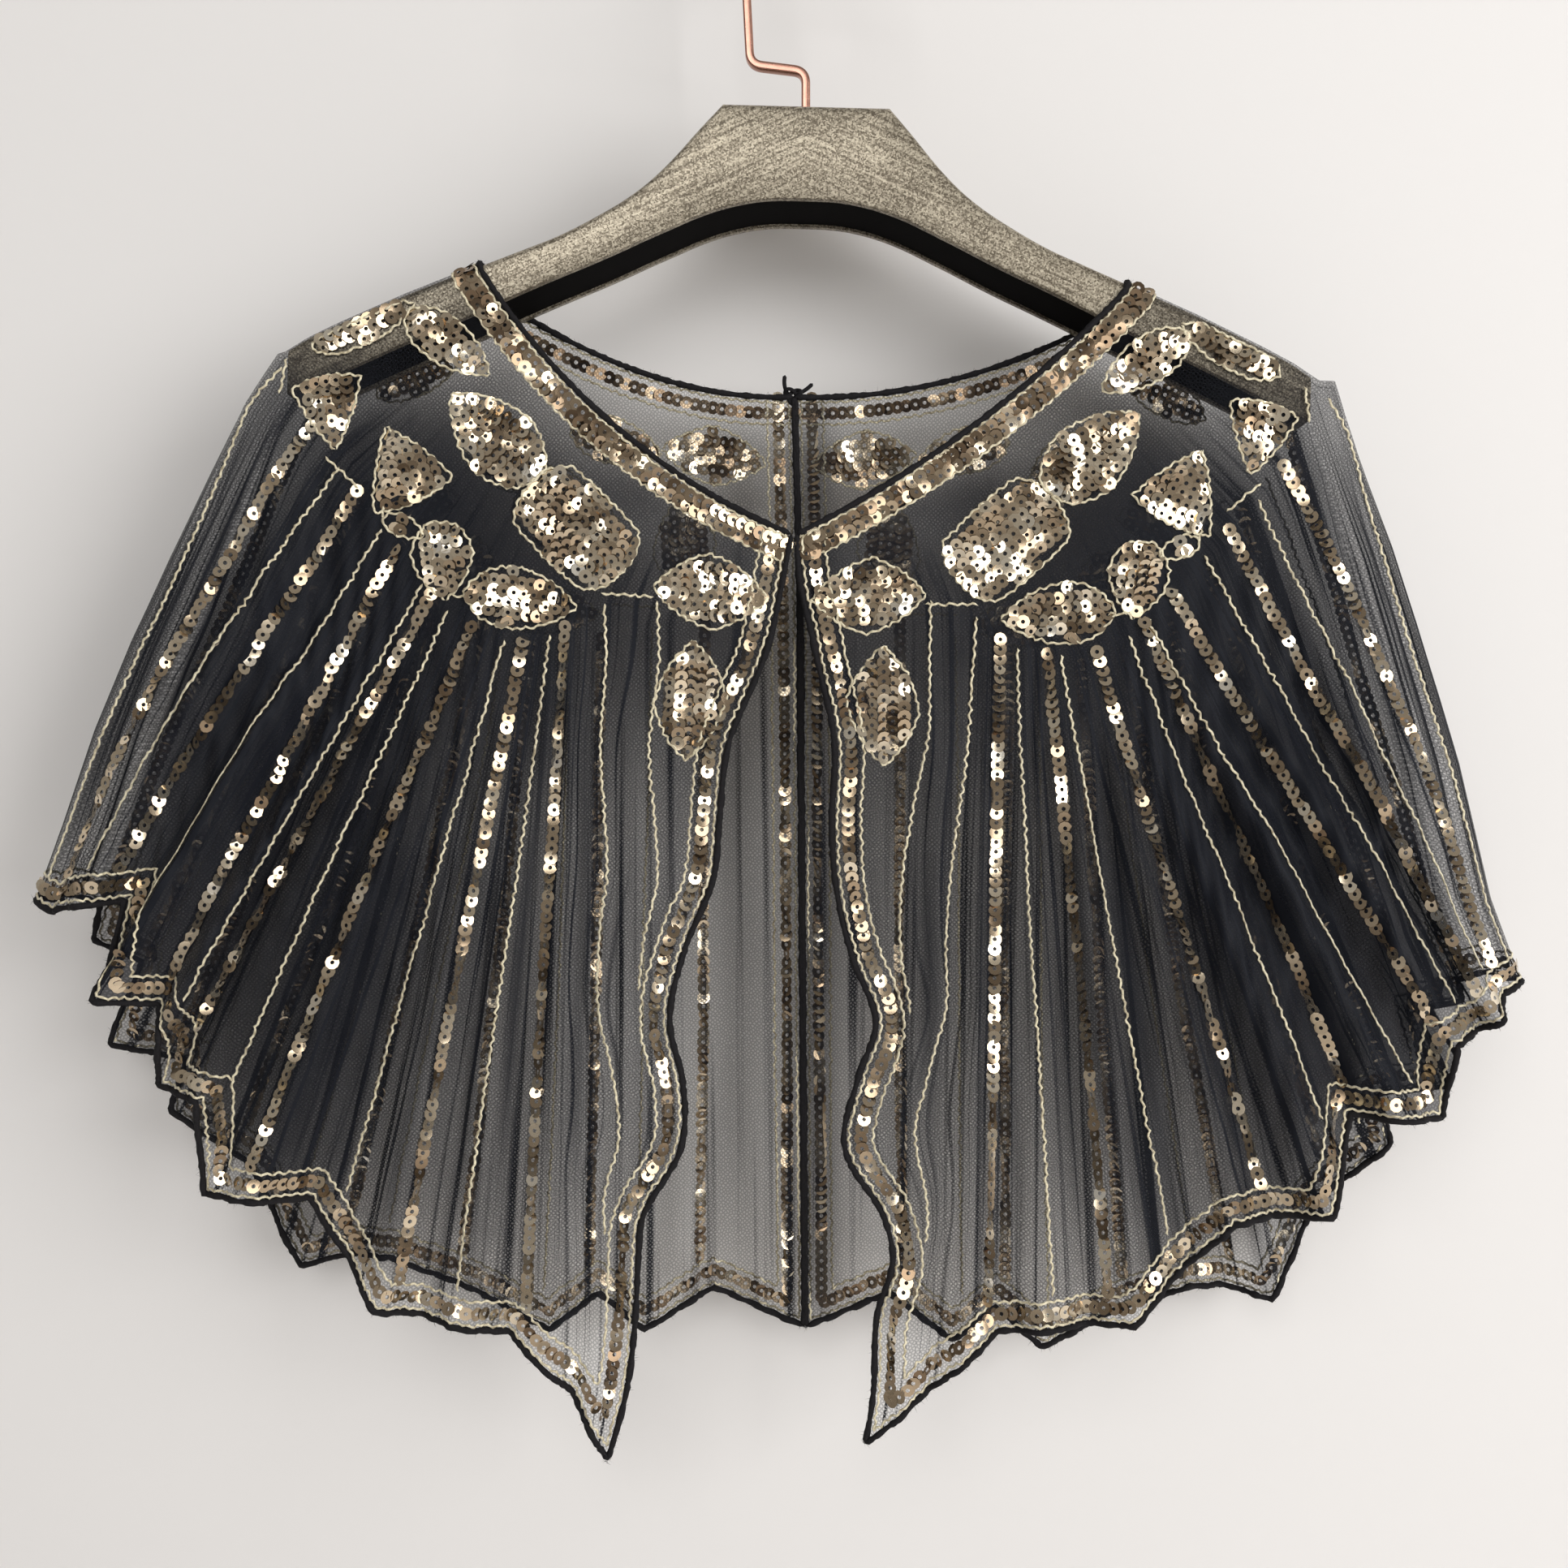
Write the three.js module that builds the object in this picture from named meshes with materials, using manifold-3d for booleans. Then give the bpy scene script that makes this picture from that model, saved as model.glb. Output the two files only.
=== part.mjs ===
// An evening capelet of black net, open at the front, hanging on a broad-shouldered hanger.
// Millimetres, +Z up, -Y towards the wearer's front. The origin is the inside top of the hook's
// arc, where the hook rests on a rail or nail.
import * as THREE from "three";
import { mergeVertices } from "three/addons/utils/BufferGeometryUtils.js";
import Module from "manifold-3d";

const wasm = await Module();
wasm.setup();

// Hanger: the arms' outline is given below its flat top, at distances out from the middle.
const HANGER_TOP = -82.6;
const HANGER_TILT = THREE.MathUtils.degToRad(1.5);
const HANGER_DEPTH = 35;
const HANGER_EDGE_ROUND = 3;
const SHELL_WALL = 3;
const SHELL_CROWN = 4;
const SHELL_END = 3;
const CAVITY_PAST = 2;
const INLAY_CLEARANCE = 0.3;
const INLAY_RECESS = 1;
const HANGER_SECTIONS = [
  { out: 0, top: 0, under: 33.6 },
  { out: 15, top: 0, under: 34.2 },
  { out: 29.8, top: 0, under: 37.6 },
  { out: 37.6, top: 8.7, under: 40.5 },
  { out: 47.7, top: 20.5, under: 45.2 },
  { out: 56.4, top: 29.1, under: 49.3 },
  { out: 64.5, top: 35.3, under: 53.3 },
  { out: 73.8, top: 41.1, under: 57.7 },
  { out: 86.8, top: 48.2, under: 63.5 },
  { out: 101.3, top: 54.4, under: 70.2 },
  { out: 117.7, top: 61.2, under: 78.2 },
  { out: 141.8, top: 71.4, under: 89.2 },
  { out: 165, top: 82.2, under: 100.4 },
  { out: 176, top: 87.8, under: 105.6 },
  { out: 182.5, top: 92, under: 108 },
];
const HANGER_HALF_SPAN = HANGER_SECTIONS.at(-1).out;
const CLOSEST_SECTIONS = 0.5;

// Hook: a bent flat bar with a jog to the side, so that its arc hangs over the hanger's middle.
const HOOK_WIDTH = 3.2;
const HOOK_DEPTH = 4;
const HOOK_CHAMFER = 0.6;
const HOOK_ARC_RADIUS = 22.5;
const HOOK_BEND_RADIUS = 4.5;
const HOOK_SEAT_GAP = 0.3;
const HOOK_JOG_FOOT = -64;
const HOOK_JOG_TOP = -61.5;
const HOOK_JOG_OUT = -20.4;
const HOOK_ARC_END = THREE.MathUtils.degToRad(-16);
const HOOK_BEND_STEPS = 5;
const HOOK_ARC_STEPS = 22;

// Cloth: one wall for each half, from the front edge over the shoulder to the centre back.
const CLOTH_THICKNESS = 1.2;
const CLOTH_LIFT = 1.3;
const CLOTH_HALF_DEPTH = 18.5;
const CLOTH_SPREAD = 3;
const SEAM_HALF_GAP = 0.35;
const ARM_MEAN_DROP = 75;
const ARM_INWARD = { x: 0.3, z: -0.95 };
const SIDE_INWARD = { x: 0.9, z: -0.4 };
const SIDE_TURNED_BY = 1.25;
const SIDE_ROUND_BY = 1.5;
const YOKE_STEPS = 5;
const SKIRT_STEPS = 11;
const STEPS_PER_RIB = 2;
const FOLDS_START = 0.05;
const FOLDS_FULL = 0.55;
const EDGE_WAVE_REACH = 4;
const SIDE_REACH = 5;

// The strip over the shoulder and down the side, from its front corner to its back one: how far
// across the depth, as a share of half of it, and how far inside its guide it lies on the arm and
// further down, where it rounds into two folds with a trough between them.
const SHOULDER_STRIP = [
  { across: -1, onArm: 4, below: 11 },
  { across: -0.94, onArm: 1.2, below: 6 },
  { across: -0.75, onArm: 0, below: 1.5 },
  { across: -0.4, onArm: -0.3, below: 0 },
  { across: 0, onArm: -0.4, below: 4.5 },
  { across: 0.4, onArm: -0.3, below: 0 },
  { across: 0.75, onArm: 0, below: 1.5 },
  { across: 0.94, onArm: 1.2, below: 6 },
  { across: 1, onArm: 4, below: 11 },
];

// Ribs run down the cloth from the neck through the yoke line to the hem. Each row is the crest or
// the trough of one fold: where it crosses the yoke line, where it meets the hem, and how far it
// stands out. The hem's points and notches are rows too.
const LEFT_FRONT_RIBS = [
  { yokeX: -12.6, yokeZ: -258, hemX: -70.4, hemZ: -564.5, out: 1 },
  { yokeX: -60, yokeZ: -260, hemX: -76, hemZ: -553, out: 5 },
  { yokeX: -77.5, yokeZ: -261, hemX: -83, hemZ: -540, out: 1 },
  { yokeX: -82, yokeZ: -266, hemX: -94, hemZ: -529, out: 7 },
  { yokeX: -86.5, yokeZ: -270, hemX: -105, hemZ: -518.5, out: 2 },
  { yokeX: -92, yokeZ: -272, hemX: -121, hemZ: -515.5, out: 9 },
  { yokeX: -98, yokeZ: -274, hemX: -137, hemZ: -512, out: 2 },
  { yokeX: -103, yokeZ: -274.5, hemX: -151.5, hemZ: -509, out: 10 },
  { yokeX: -106, yokeZ: -274, hemX: -161, hemZ: -493, out: 3 },
  { yokeX: -112, yokeZ: -273, hemX: -176, hemZ: -471.5, out: 1 },
  { yokeX: -117.5, yokeZ: -270, hemX: -194, hemZ: -470.5, out: 12 },
  { yokeX: -123.5, yokeZ: -267, hemX: -213, hemZ: -469.5, out: 3 },
  { yokeX: -130, yokeZ: -261, hemX: -212, hemZ: -435.5, out: 12 },
  { yokeX: -134, yokeZ: -257, hemX: -229.5, hemZ: -431.5, out: 1 },
  { yokeX: -138.5, yokeZ: -251.5, hemX: -226, hemZ: -414.5, out: 10 },
  { yokeX: -144.5, yokeZ: -244, hemX: -229.5, hemZ: -403, out: 1 },
  { yokeX: -150, yokeZ: -236, hemX: -248.5, hemZ: -400.5, out: 13 },
  { yokeX: -154, yokeZ: -229.5, hemX: -245.5, hemZ: -388, out: 3 },
  { yokeX: -160, yokeZ: -221, hemX: -241, hemZ: -366, out: 1 },
  { yokeX: -168, yokeZ: -211, hemX: -253, hemZ: -367, out: 11 },
  { yokeX: -177, yokeZ: -198, hemX: -264, hemZ: -368, out: 4 },
  { yokeX: -188, yokeZ: -177, hemX: -268, hemZ: -369, out: 0 },
];
const RIGHT_FRONT_RIBS = [
  { yokeX: -3, yokeZ: -258, hemX: 19.8, hemZ: -558.5, out: 1 },
  { yokeX: 40, yokeZ: -259, hemX: 31, hemZ: -549, out: 5 },
  { yokeX: 56.5, yokeZ: -262, hemX: 42, hemZ: -540, out: 1 },
  { yokeX: 64, yokeZ: -269, hemX: 55, hemZ: -529, out: 7 },
  { yokeX: 71, yokeZ: -275.5, hemX: 68, hemZ: -518, out: 2 },
  { yokeX: 77, yokeZ: -277, hemX: 84, hemZ: -516.5, out: 9 },
  { yokeX: 82, yokeZ: -278, hemX: 99, hemZ: -515.5, out: 2 },
  { yokeX: 87.5, yokeZ: -279, hemX: 114.5, hemZ: -514, out: 10 },
  { yokeX: 91.5, yokeZ: -279, hemX: 132, hemZ: -497, out: 2 },
  { yokeX: 98.5, yokeZ: -280, hemX: 150, hemZ: -479, out: 9 },
  { yokeX: 104.5, yokeZ: -277.5, hemX: 167, hemZ: -477.5, out: 1 },
  { yokeX: 111, yokeZ: -274.5, hemX: 183.5, hemZ: -476, out: 12 },
  { yokeX: 118, yokeZ: -270, hemX: 192, hemZ: -441.5, out: 2 },
  { yokeX: 121.5, yokeZ: -266, hemX: 208, hemZ: -442.5, out: 13 },
  { yokeX: 126, yokeZ: -261, hemX: 225, hemZ: -443, out: 2 },
  { yokeX: 134, yokeZ: -252, hemX: 226, hemZ: -416, out: 12 },
  { yokeX: 143, yokeZ: -242, hemX: 238, hemZ: -411.5, out: 2 },
  { yokeX: 152, yokeZ: -233, hemX: 243, hemZ: -408, out: 10 },
  { yokeX: 163, yokeZ: -221, hemX: 246, hemZ: -402, out: 2 },
  { yokeX: 184, yokeZ: -188, hemX: 248, hemZ: -399, out: 0 },
];
// The back, from the centre seam out to the side. It is cut alike on both sides.
const BACK_RIBS = [
  { yokeX: -2.5, yokeZ: -258, hemX: -0.6, hemZ: -531, out: 2 },
  { yokeX: -38, yokeZ: -262, hemX: -35, hemZ: -518, out: 8 },
  { yokeX: -60, yokeZ: -266, hemX: -61, hemZ: -532, out: 1 },
  { yokeX: -77, yokeZ: -270, hemX: -79, hemZ: -520, out: 7 },
  { yokeX: -90, yokeZ: -273, hemX: -97, hemZ: -532, out: 1 },
  { yokeX: -104, yokeZ: -273, hemX: -130, hemZ: -518, out: 9 },
  { yokeX: -113, yokeZ: -270, hemX: -158, hemZ: -505, out: 2 },
  { yokeX: -120, yokeZ: -266, hemX: -175, hemZ: -506, out: 11 },
  { yokeX: -127, yokeZ: -260, hemX: -192, hemZ: -508, out: 2 },
  { yokeX: -135, yokeZ: -251, hemX: -214, hemZ: -472, out: 12 },
  { yokeX: -143, yokeZ: -242, hemX: -241, hemZ: -449, out: 2 },
  { yokeX: -150, yokeZ: -234, hemX: -238, hemZ: -431, out: 10 },
  { yokeX: -157, yokeZ: -225, hemX: -264, hemZ: -424, out: 1 },
  { yokeX: -165, yokeZ: -214, hemX: -256, hemZ: -394, out: 11 },
  { yokeX: -175, yokeZ: -199, hemX: -271, hemZ: -385, out: 2 },
  { yokeX: -188, yokeZ: -177, hemX: -268, hemZ: -372, out: 0 },
];
const RIGHT_BACK_NARROWER = 0.925;
const RIGHT_BACK_YOKE_DROP = 10;
const RIGHT_BACK_HEM_DROP = 13;
const FULL_DROP_OUT = 190;

// The front edges are cut in waves: at each bend, its height and where each side's edge hangs.
const FRONT_EDGE = [
  { z: -230, left: -4.35, right: -3.65 },
  { z: -250, left: -8, right: -2.6 },
  { z: -277, left: -14, right: 3 },
  { z: -312, left: -28, right: 10 },
  { z: -338, left: -31, right: 9 },
  { z: -358, left: -33, right: 10 },
  { z: -386, left: -44, right: 16 },
  { z: -410, left: -48.5, right: 24.5 },
  { z: -430, left: -44, right: 18 },
  { z: -454, left: -44.5, right: 13.5 },
  { z: -480, left: -58.5, right: 28 },
  { z: -492, left: -59.5, right: 30.5 },
  { z: -513, left: -60.5, right: 25 },
  { z: -541, left: -64, right: 23.5 },
  { z: -566, left: -70.8, right: 19.4 },
];

// One row for each half of the capelet: its neck edge and how it falls from the shoulder.
const LEFT = {
  sign: -1,
  edge: "left",
  frontRibs: LEFT_FRONT_RIBS,
  backRibs: BACK_RIBS,
  throat: { x: -4.35, z: -236 },
  frontNeckBow: { x: -75, z: -207 },
  neckOut: 117,
  backNeckBow: { x: -57, z: -181 },
  backNeck: { x: -4.35, z: -179 },
  shoulderEnd: 189,
  side: [
    { x: -205, z: -186 },
    { x: -216, z: -213 },
    { x: -229, z: -243 },
    { x: -243, z: -273 },
    { x: -256, z: -305 },
    { x: -267, z: -338 },
    { x: -277, z: -366 },
  ],
};
const RIGHT = {
  sign: 1,
  edge: "right",
  frontRibs: RIGHT_FRONT_RIBS,
  backRibs: BACK_RIBS.map(mirroredRib),
  throat: { x: -3.65, z: -236 },
  frontNeckBow: { x: 63, z: -203 },
  neckOut: 115,
  backNeckBow: { x: 56, z: -181 },
  backNeck: { x: -3.65, z: -179 },
  shoulderEnd: 189,
  side: [
    { x: 198, z: -192 },
    { x: 206, z: -216 },
    { x: 213.5, z: -240 },
    { x: 221, z: -267 },
    { x: 228, z: -293 },
    { x: 235, z: -317 },
    { x: 246, z: -365 },
    { x: 257, z: -395 },
  ],
};

function mirroredRib(rib) {
  const share = Math.min(1, Math.abs(rib.hemX) / FULL_DROP_OUT);
  return {
    yokeX: -rib.yokeX,
    yokeZ: rib.yokeZ - RIGHT_BACK_YOKE_DROP * share,
    hemX: -rib.hemX * RIGHT_BACK_NARROWER,
    hemZ: rib.hemZ - RIGHT_BACK_HEM_DROP * share,
    out: rib.out,
  };
}

const lerp = THREE.MathUtils.lerp;
const smoothstep = THREE.MathUtils.smoothstep;

// The value of one column of a table, between the rows on either side of a key.
function lookUp(rows, keyColumn, valueColumn, key) {
  const rising = rows.at(-1)[keyColumn] > rows[0][keyColumn];
  const after = rows.findIndex((row) => (rising ? row[keyColumn] >= key : row[keyColumn] <= key));
  const last = after < 0 ? rows.length - 1 : Math.max(after, 1);
  const a = rows[last - 1];
  const b = rows[last];
  const share = (key - a[keyColumn]) / (b[keyColumn] - a[keyColumn]);
  return lerp(a[valueColumn], b[valueColumn], THREE.MathUtils.clamp(share, 0, 1.5));
}

// A closed body from rings of points, joined in order and capped at both ends.
function loft(rings) {
  const count = rings[0].length;
  const positions = rings.flat(2);
  const faces = [];
  for (let i = 0; i + 1 < rings.length; i++)
    for (let j = 0; j < count; j++) {
      const a = i * count + j;
      const b = i * count + ((j + 1) % count);
      faces.push(a, b, b + count, a, b + count, a + count);
    }
  const lastRing = (rings.length - 1) * count;
  for (let j = 1; j + 1 < count; j++) {
    faces.push(0, j + 1, j);
    faces.push(lastRing, lastRing + j, lastRing + j + 1);
  }
  const geometry = new THREE.BufferGeometry();
  geometry.setAttribute("position", new THREE.Float32BufferAttribute(positions, 3));
  geometry.setIndex(faces);
  return geometry;
}

function toSolid(geometry) {
  const bare = geometry.clone();
  bare.deleteAttribute("normal");
  bare.deleteAttribute("uv");
  const merged = mergeVertices(bare);
  return new wasm.Manifold(
    new wasm.Mesh({
      numProp: 3,
      vertProperties: merged.attributes.position.array,
      triVerts: new Uint32Array(merged.index.array),
    }),
  );
}

function toGeometry(solid) {
  const mesh = solid.getMesh();
  const geometry = new THREE.BufferGeometry();
  geometry.setAttribute("position", new THREE.BufferAttribute(mesh.vertProperties, mesh.numProp));
  geometry.setIndex(new THREE.BufferAttribute(mesh.triVerts, 1));
  geometry.computeVertexNormals();
  return geometry;
}

function namedMesh(name, geometry, color, roughness, metalness) {
  const material = new THREE.MeshStandardMaterial({ color, roughness, metalness });
  const mesh = new THREE.Mesh(geometry, material);
  mesh.name = name;
  return mesh;
}

// The hanger's sections from one end to the other, as far out as the reach given.
function hangerSpan(reach) {
  const inside = HANGER_SECTIONS.filter((section) => section.out < reach - CLOSEST_SECTIONS);
  const end = {
    out: reach,
    top: lookUp(HANGER_SECTIONS, "out", "top", reach),
    under: lookUp(HANGER_SECTIONS, "out", "under", reach),
  };
  const half = [...inside, end];
  const mirrored = half.slice(1).reverse().map((section) => ({ ...section, out: -section.out }));
  return [...mirrored, ...half];
}

function hangerShell() {
  const half = HANGER_DEPTH / 2;
  const flat = half - HANGER_EDGE_ROUND;
  const bevel = HANGER_EDGE_ROUND * (1 - Math.SQRT1_2);
  const outer = hangerSpan(HANGER_HALF_SPAN).map(({ out, top, under }) => [
    [out, -half, -under],
    [out, half, -under],
    [out, half, -top - HANGER_EDGE_ROUND],
    [out, half - bevel, -top - bevel],
    [out, flat, -top],
    [out, -flat, -top],
    [out, bevel - half, -top - bevel],
    [out, -half, -top - HANGER_EDGE_ROUND],
  ]);
  const wallIn = half - SHELL_WALL;
  const cavity = hangerSpan(HANGER_HALF_SPAN - SHELL_END).map(({ out, top, under }) => [
    [out, -wallIn, -under - CAVITY_PAST],
    [out, wallIn, -under - CAVITY_PAST],
    [out, wallIn, -top - SHELL_CROWN],
    [out, -wallIn, -top - SHELL_CROWN],
  ]);
  return toGeometry(toSolid(loft(outer)).subtract(toSolid(loft(cavity))));
}

function hangerInlay() {
  const half = HANGER_DEPTH / 2 - SHELL_WALL - INLAY_CLEARANCE;
  const rings = hangerSpan(HANGER_HALF_SPAN - SHELL_END - INLAY_CLEARANCE).map((section) => {
    const low = -section.under + INLAY_RECESS;
    const high = -section.top - SHELL_CROWN - INLAY_CLEARANCE;
    return [
      [section.out, -half, low],
      [section.out, half, low],
      [section.out, half, high],
      [section.out, -half, high],
    ];
  });
  return loft(rings);
}

// The hook's middle line in the XZ plane: foot, jog and riser with rounded bends, then the arc.
function hookLine() {
  const arcCentre = HOOK_WIDTH / 2 - HOOK_ARC_RADIUS;
  const corners = [
    new THREE.Vector2(0, HANGER_TOP + HOOK_SEAT_GAP),
    new THREE.Vector2(0, HOOK_JOG_FOOT),
    new THREE.Vector2(HOOK_JOG_OUT, HOOK_JOG_TOP),
    new THREE.Vector2(-HOOK_ARC_RADIUS, arcCentre),
  ];
  const line = [corners[0]];
  for (let i = 1; i + 1 < corners.length; i++) {
    const before = corners[i - 1].clone().sub(corners[i]).setLength(HOOK_BEND_RADIUS);
    const after = corners[i + 1].clone().sub(corners[i]).setLength(HOOK_BEND_RADIUS);
    const bend = new THREE.QuadraticBezierCurve(
      corners[i].clone().add(before),
      corners[i],
      corners[i].clone().add(after),
    );
    line.push(...bend.getPoints(HOOK_BEND_STEPS));
  }
  for (let i = 0; i <= HOOK_ARC_STEPS; i++) {
    const angle = lerp(Math.PI, HOOK_ARC_END, i / HOOK_ARC_STEPS);
    line.push(
      new THREE.Vector2(
        HOOK_ARC_RADIUS * Math.cos(angle),
        arcCentre + HOOK_ARC_RADIUS * Math.sin(angle),
      ),
    );
  }
  return line;
}

function hangerHook() {
  const line = hookLine();
  const wide = HOOK_WIDTH / 2;
  const deep = HOOK_DEPTH / 2;
  const section = [
    [wide, deep - HOOK_CHAMFER],
    [wide - HOOK_CHAMFER, deep],
    [HOOK_CHAMFER - wide, deep],
    [-wide, deep - HOOK_CHAMFER],
    [-wide, HOOK_CHAMFER - deep],
    [HOOK_CHAMFER - wide, -deep],
    [wide - HOOK_CHAMFER, -deep],
    [wide, HOOK_CHAMFER - deep],
  ];
  const rings = line.map((point, i) => {
    const ahead = line[Math.min(i + 1, line.length - 1)];
    const behind = line[Math.max(i - 1, 0)];
    const along = ahead.clone().sub(behind).normalize();
    return section.map(([w, d]) => [point.x + along.y * w, d, point.y - along.x * w]);
  });
  return loft(rings);
}

// The height of the cloth's crown on the tilted hanger arm, or on its line past the arm's end.
function crownHeight(x) {
  const tiltShift = Math.tan(HANGER_TILT) * x;
  const out = Math.abs(x + Math.tan(HANGER_TILT) * ARM_MEAN_DROP);
  return HANGER_TOP - lookUp(HANGER_SECTIONS, "out", "top", out) - tiltShift + CLOTH_LIFT;
}

// The shoulder guide: along the arm for a run of 0 to 1, then down the side to the hem at 2. The
// inward direction is square to it.
function shoulderGuide(half, run) {
  const armX = half.sign * lerp(half.neckOut, half.shoulderEnd, Math.min(run, 1));
  const turned = smoothstep(run, 1, SIDE_TURNED_BY);
  const inX = -half.sign * lerp(ARM_INWARD.x, SIDE_INWARD.x, turned);
  const inZ = lerp(ARM_INWARD.z, SIDE_INWARD.z, turned);
  const arm = { x: armX, z: crownHeight(armX) };
  if (run <= 1) return { ...arm, inX, inZ };
  const rows = [arm, ...half.side];
  const z = lerp(arm.z, rows.at(-1).z, run - 1);
  return { x: lookUp(rows, "z", "x", z), z, inX, inZ };
}

function halfDepth(run) {
  return CLOTH_HALF_DEPTH + CLOTH_SPREAD * smoothstep(run, 1, 2);
}

function stripPoint(half, place, run) {
  const row = Math.min(Math.floor(place), SHOULDER_STRIP.length - 2);
  const a = SHOULDER_STRIP[row];
  const b = SHOULDER_STRIP[row + 1];
  const across = lerp(a.across, b.across, place - row);
  const onArm = lerp(a.onArm, b.onArm, place - row);
  const below = lerp(a.below, b.below, place - row);
  const inside = lerp(onArm, below, smoothstep(run, 1, SIDE_ROUND_BY));
  const guide = shoulderGuide(half, run);
  return [guide.x + guide.inX * inside, across * halfDepth(run), guide.z + guide.inZ * inside];
}

// Where on the neck edge a rib starts, by its share of the way from the middle to the shoulder.
function neckPoint(half, isFront, share) {
  const middle = isFront ? half.throat : half.backNeck;
  const bow = isFront ? half.frontNeckBow : half.backNeckBow;
  const [endX, , endZ] = stripPoint(half, 0, 0);
  const a = (1 - share) ** 2;
  const b = 2 * share * (1 - share);
  const c = share ** 2;
  return {
    x: a * middle.x + b * bow.x + c * endX,
    z: a * middle.z + b * bow.z + c * endZ,
  };
}

function ribAt(ribs, place) {
  const row = Math.min(Math.floor(place), ribs.length - 2);
  const share = place - row;
  const a = ribs[row];
  const b = ribs[row + 1];
  const eased = (1 - Math.cos(Math.PI * share)) / 2;
  return {
    yokeX: lerp(a.yokeX, b.yokeX, share),
    yokeZ: lerp(a.yokeZ, b.yokeZ, share),
    hemX: lerp(a.hemX, b.hemX, share),
    hemZ: lerp(a.hemZ, b.hemZ, share),
    out: lerp(a.out, b.out, eased),
  };
}

// A rib's point before it is pulled to an edge: straight from the neck to the yoke line at a run of
// 1, then straight to the hem at 2.
function ribPoint(half, isFront, place, run) {
  const ribs = isFront ? half.frontRibs : half.backRibs;
  const rib = ribAt(ribs, place);
  if (run > 1) {
    const down = run - 1;
    return { x: lerp(rib.yokeX, rib.hemX, down), z: lerp(rib.yokeZ, rib.hemZ, down), out: rib.out };
  }
  const first = ribs[0].yokeX;
  const neck = neckPoint(half, isFront, (rib.yokeX - first) / (ribs.at(-1).yokeX - first));
  return { x: lerp(neck.x, rib.yokeX, run), z: lerp(neck.z, rib.yokeZ, run), out: rib.out };
}

// A point of a front or back panel, pulled to the wavy front edge or the back seam at one side and
// to the shoulder's strip at the other.
function panelPoint(half, isFront, place, run) {
  const last = (isFront ? half.frontRibs : half.backRibs).length - 1;
  const point = ribPoint(half, isFront, place, run);
  const middlePull = Math.max(0, 1 - place / EDGE_WAVE_REACH) ** 2;
  const middleRib = ribPoint(half, isFront, 0, run);
  const middleX = isFront
    ? lookUp(FRONT_EDGE, "z", half.edge, middleRib.z)
    : lerp(half.backNeck.x, half.sign * SEAM_HALF_GAP, run / 2);
  const sidePull = Math.max(0, 1 - (last - place) / SIDE_REACH) ** 2;
  const sideRib = ribPoint(half, isFront, last, run);
  const [sideX, , sideZ] = stripPoint(half, 0, run);
  const y = halfDepth(run) + point.out * smoothstep(run - 1, FOLDS_START, FOLDS_FULL);
  return [
    point.x + middlePull * (middleX - middleRib.x) + sidePull * (sideX - sideRib.x),
    isFront ? -y : y,
    point.z + sidePull * (sideZ - sideRib.z),
  ];
}

// The cloth's middle surface as a grid: columns round from the front edge to the centre back, and
// rows down from the neck to the hem.
function clothGrid(half) {
  const runs = [];
  for (let i = 0; i <= YOKE_STEPS; i++) runs.push(i / YOKE_STEPS);
  for (let i = 1; i <= SKIRT_STEPS; i++) runs.push(1 + i / SKIRT_STEPS);
  const columns = [];
  const frontSteps = (half.frontRibs.length - 1) * STEPS_PER_RIB;
  const backSteps = (half.backRibs.length - 1) * STEPS_PER_RIB;
  for (let i = 0; i < frontSteps; i++)
    columns.push(runs.map((run) => panelPoint(half, true, i / STEPS_PER_RIB, run)));
  for (let i = 0; i < SHOULDER_STRIP.length; i++)
    columns.push(runs.map((run) => stripPoint(half, i, run)));
  for (let i = backSteps - 1; i >= 0; i--)
    columns.push(runs.map((run) => panelPoint(half, false, i / STEPS_PER_RIB, run)));
  return columns;
}

// A wall of even thickness on a grid of points, closed along its four edges.
function wallOnGrid(columns, thickness, facesOut) {
  const nc = columns.length;
  const nr = columns[0].length;
  const at = (i, j) => new THREE.Vector3(...columns[i][j]);
  const outer = [];
  const inner = [];
  for (let i = 0; i < nc; i++)
    for (let j = 0; j < nr; j++) {
      const across = at(Math.min(i + 1, nc - 1), j).sub(at(Math.max(i - 1, 0), j));
      const down = at(i, Math.min(j + 1, nr - 1)).sub(at(i, Math.max(j - 1, 0)));
      const normal = across.cross(down).setLength((facesOut * thickness) / 2);
      outer.push(...at(i, j).add(normal).toArray());
      inner.push(...at(i, j).sub(normal).toArray());
    }
  const faces = [];
  const quad = (a, b, c, d) => {
    if (facesOut > 0) faces.push(a, b, c, a, c, d);
    else faces.push(a, c, b, a, d, c);
  };
  const skin = nc * nr;
  for (let i = 0; i + 1 < nc; i++)
    for (let j = 0; j + 1 < nr; j++) {
      const a = i * nr + j;
      quad(a, a + nr, a + nr + 1, a + 1);
      quad(skin + a, skin + a + 1, skin + a + nr + 1, skin + a + nr);
    }
  const rim = [];
  for (let j = 0; j + 1 < nr; j++) rim.push([j, j + 1]);
  for (let i = 0; i + 1 < nc; i++) rim.push([i * nr + nr - 1, (i + 1) * nr + nr - 1]);
  for (let j = nr - 1; j > 0; j--) rim.push([(nc - 1) * nr + j, (nc - 1) * nr + j - 1]);
  for (let i = nc - 1; i > 0; i--) rim.push([i * nr, (i - 1) * nr]);
  for (const [a, b] of rim) quad(a, b, skin + b, skin + a);
  const geometry = new THREE.BufferGeometry();
  geometry.setAttribute("position", new THREE.Float32BufferAttribute([...outer, ...inner], 3));
  geometry.setIndex(faces);
  geometry.computeVertexNormals();
  return geometry;
}

const capelet = new THREE.Group();

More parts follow.
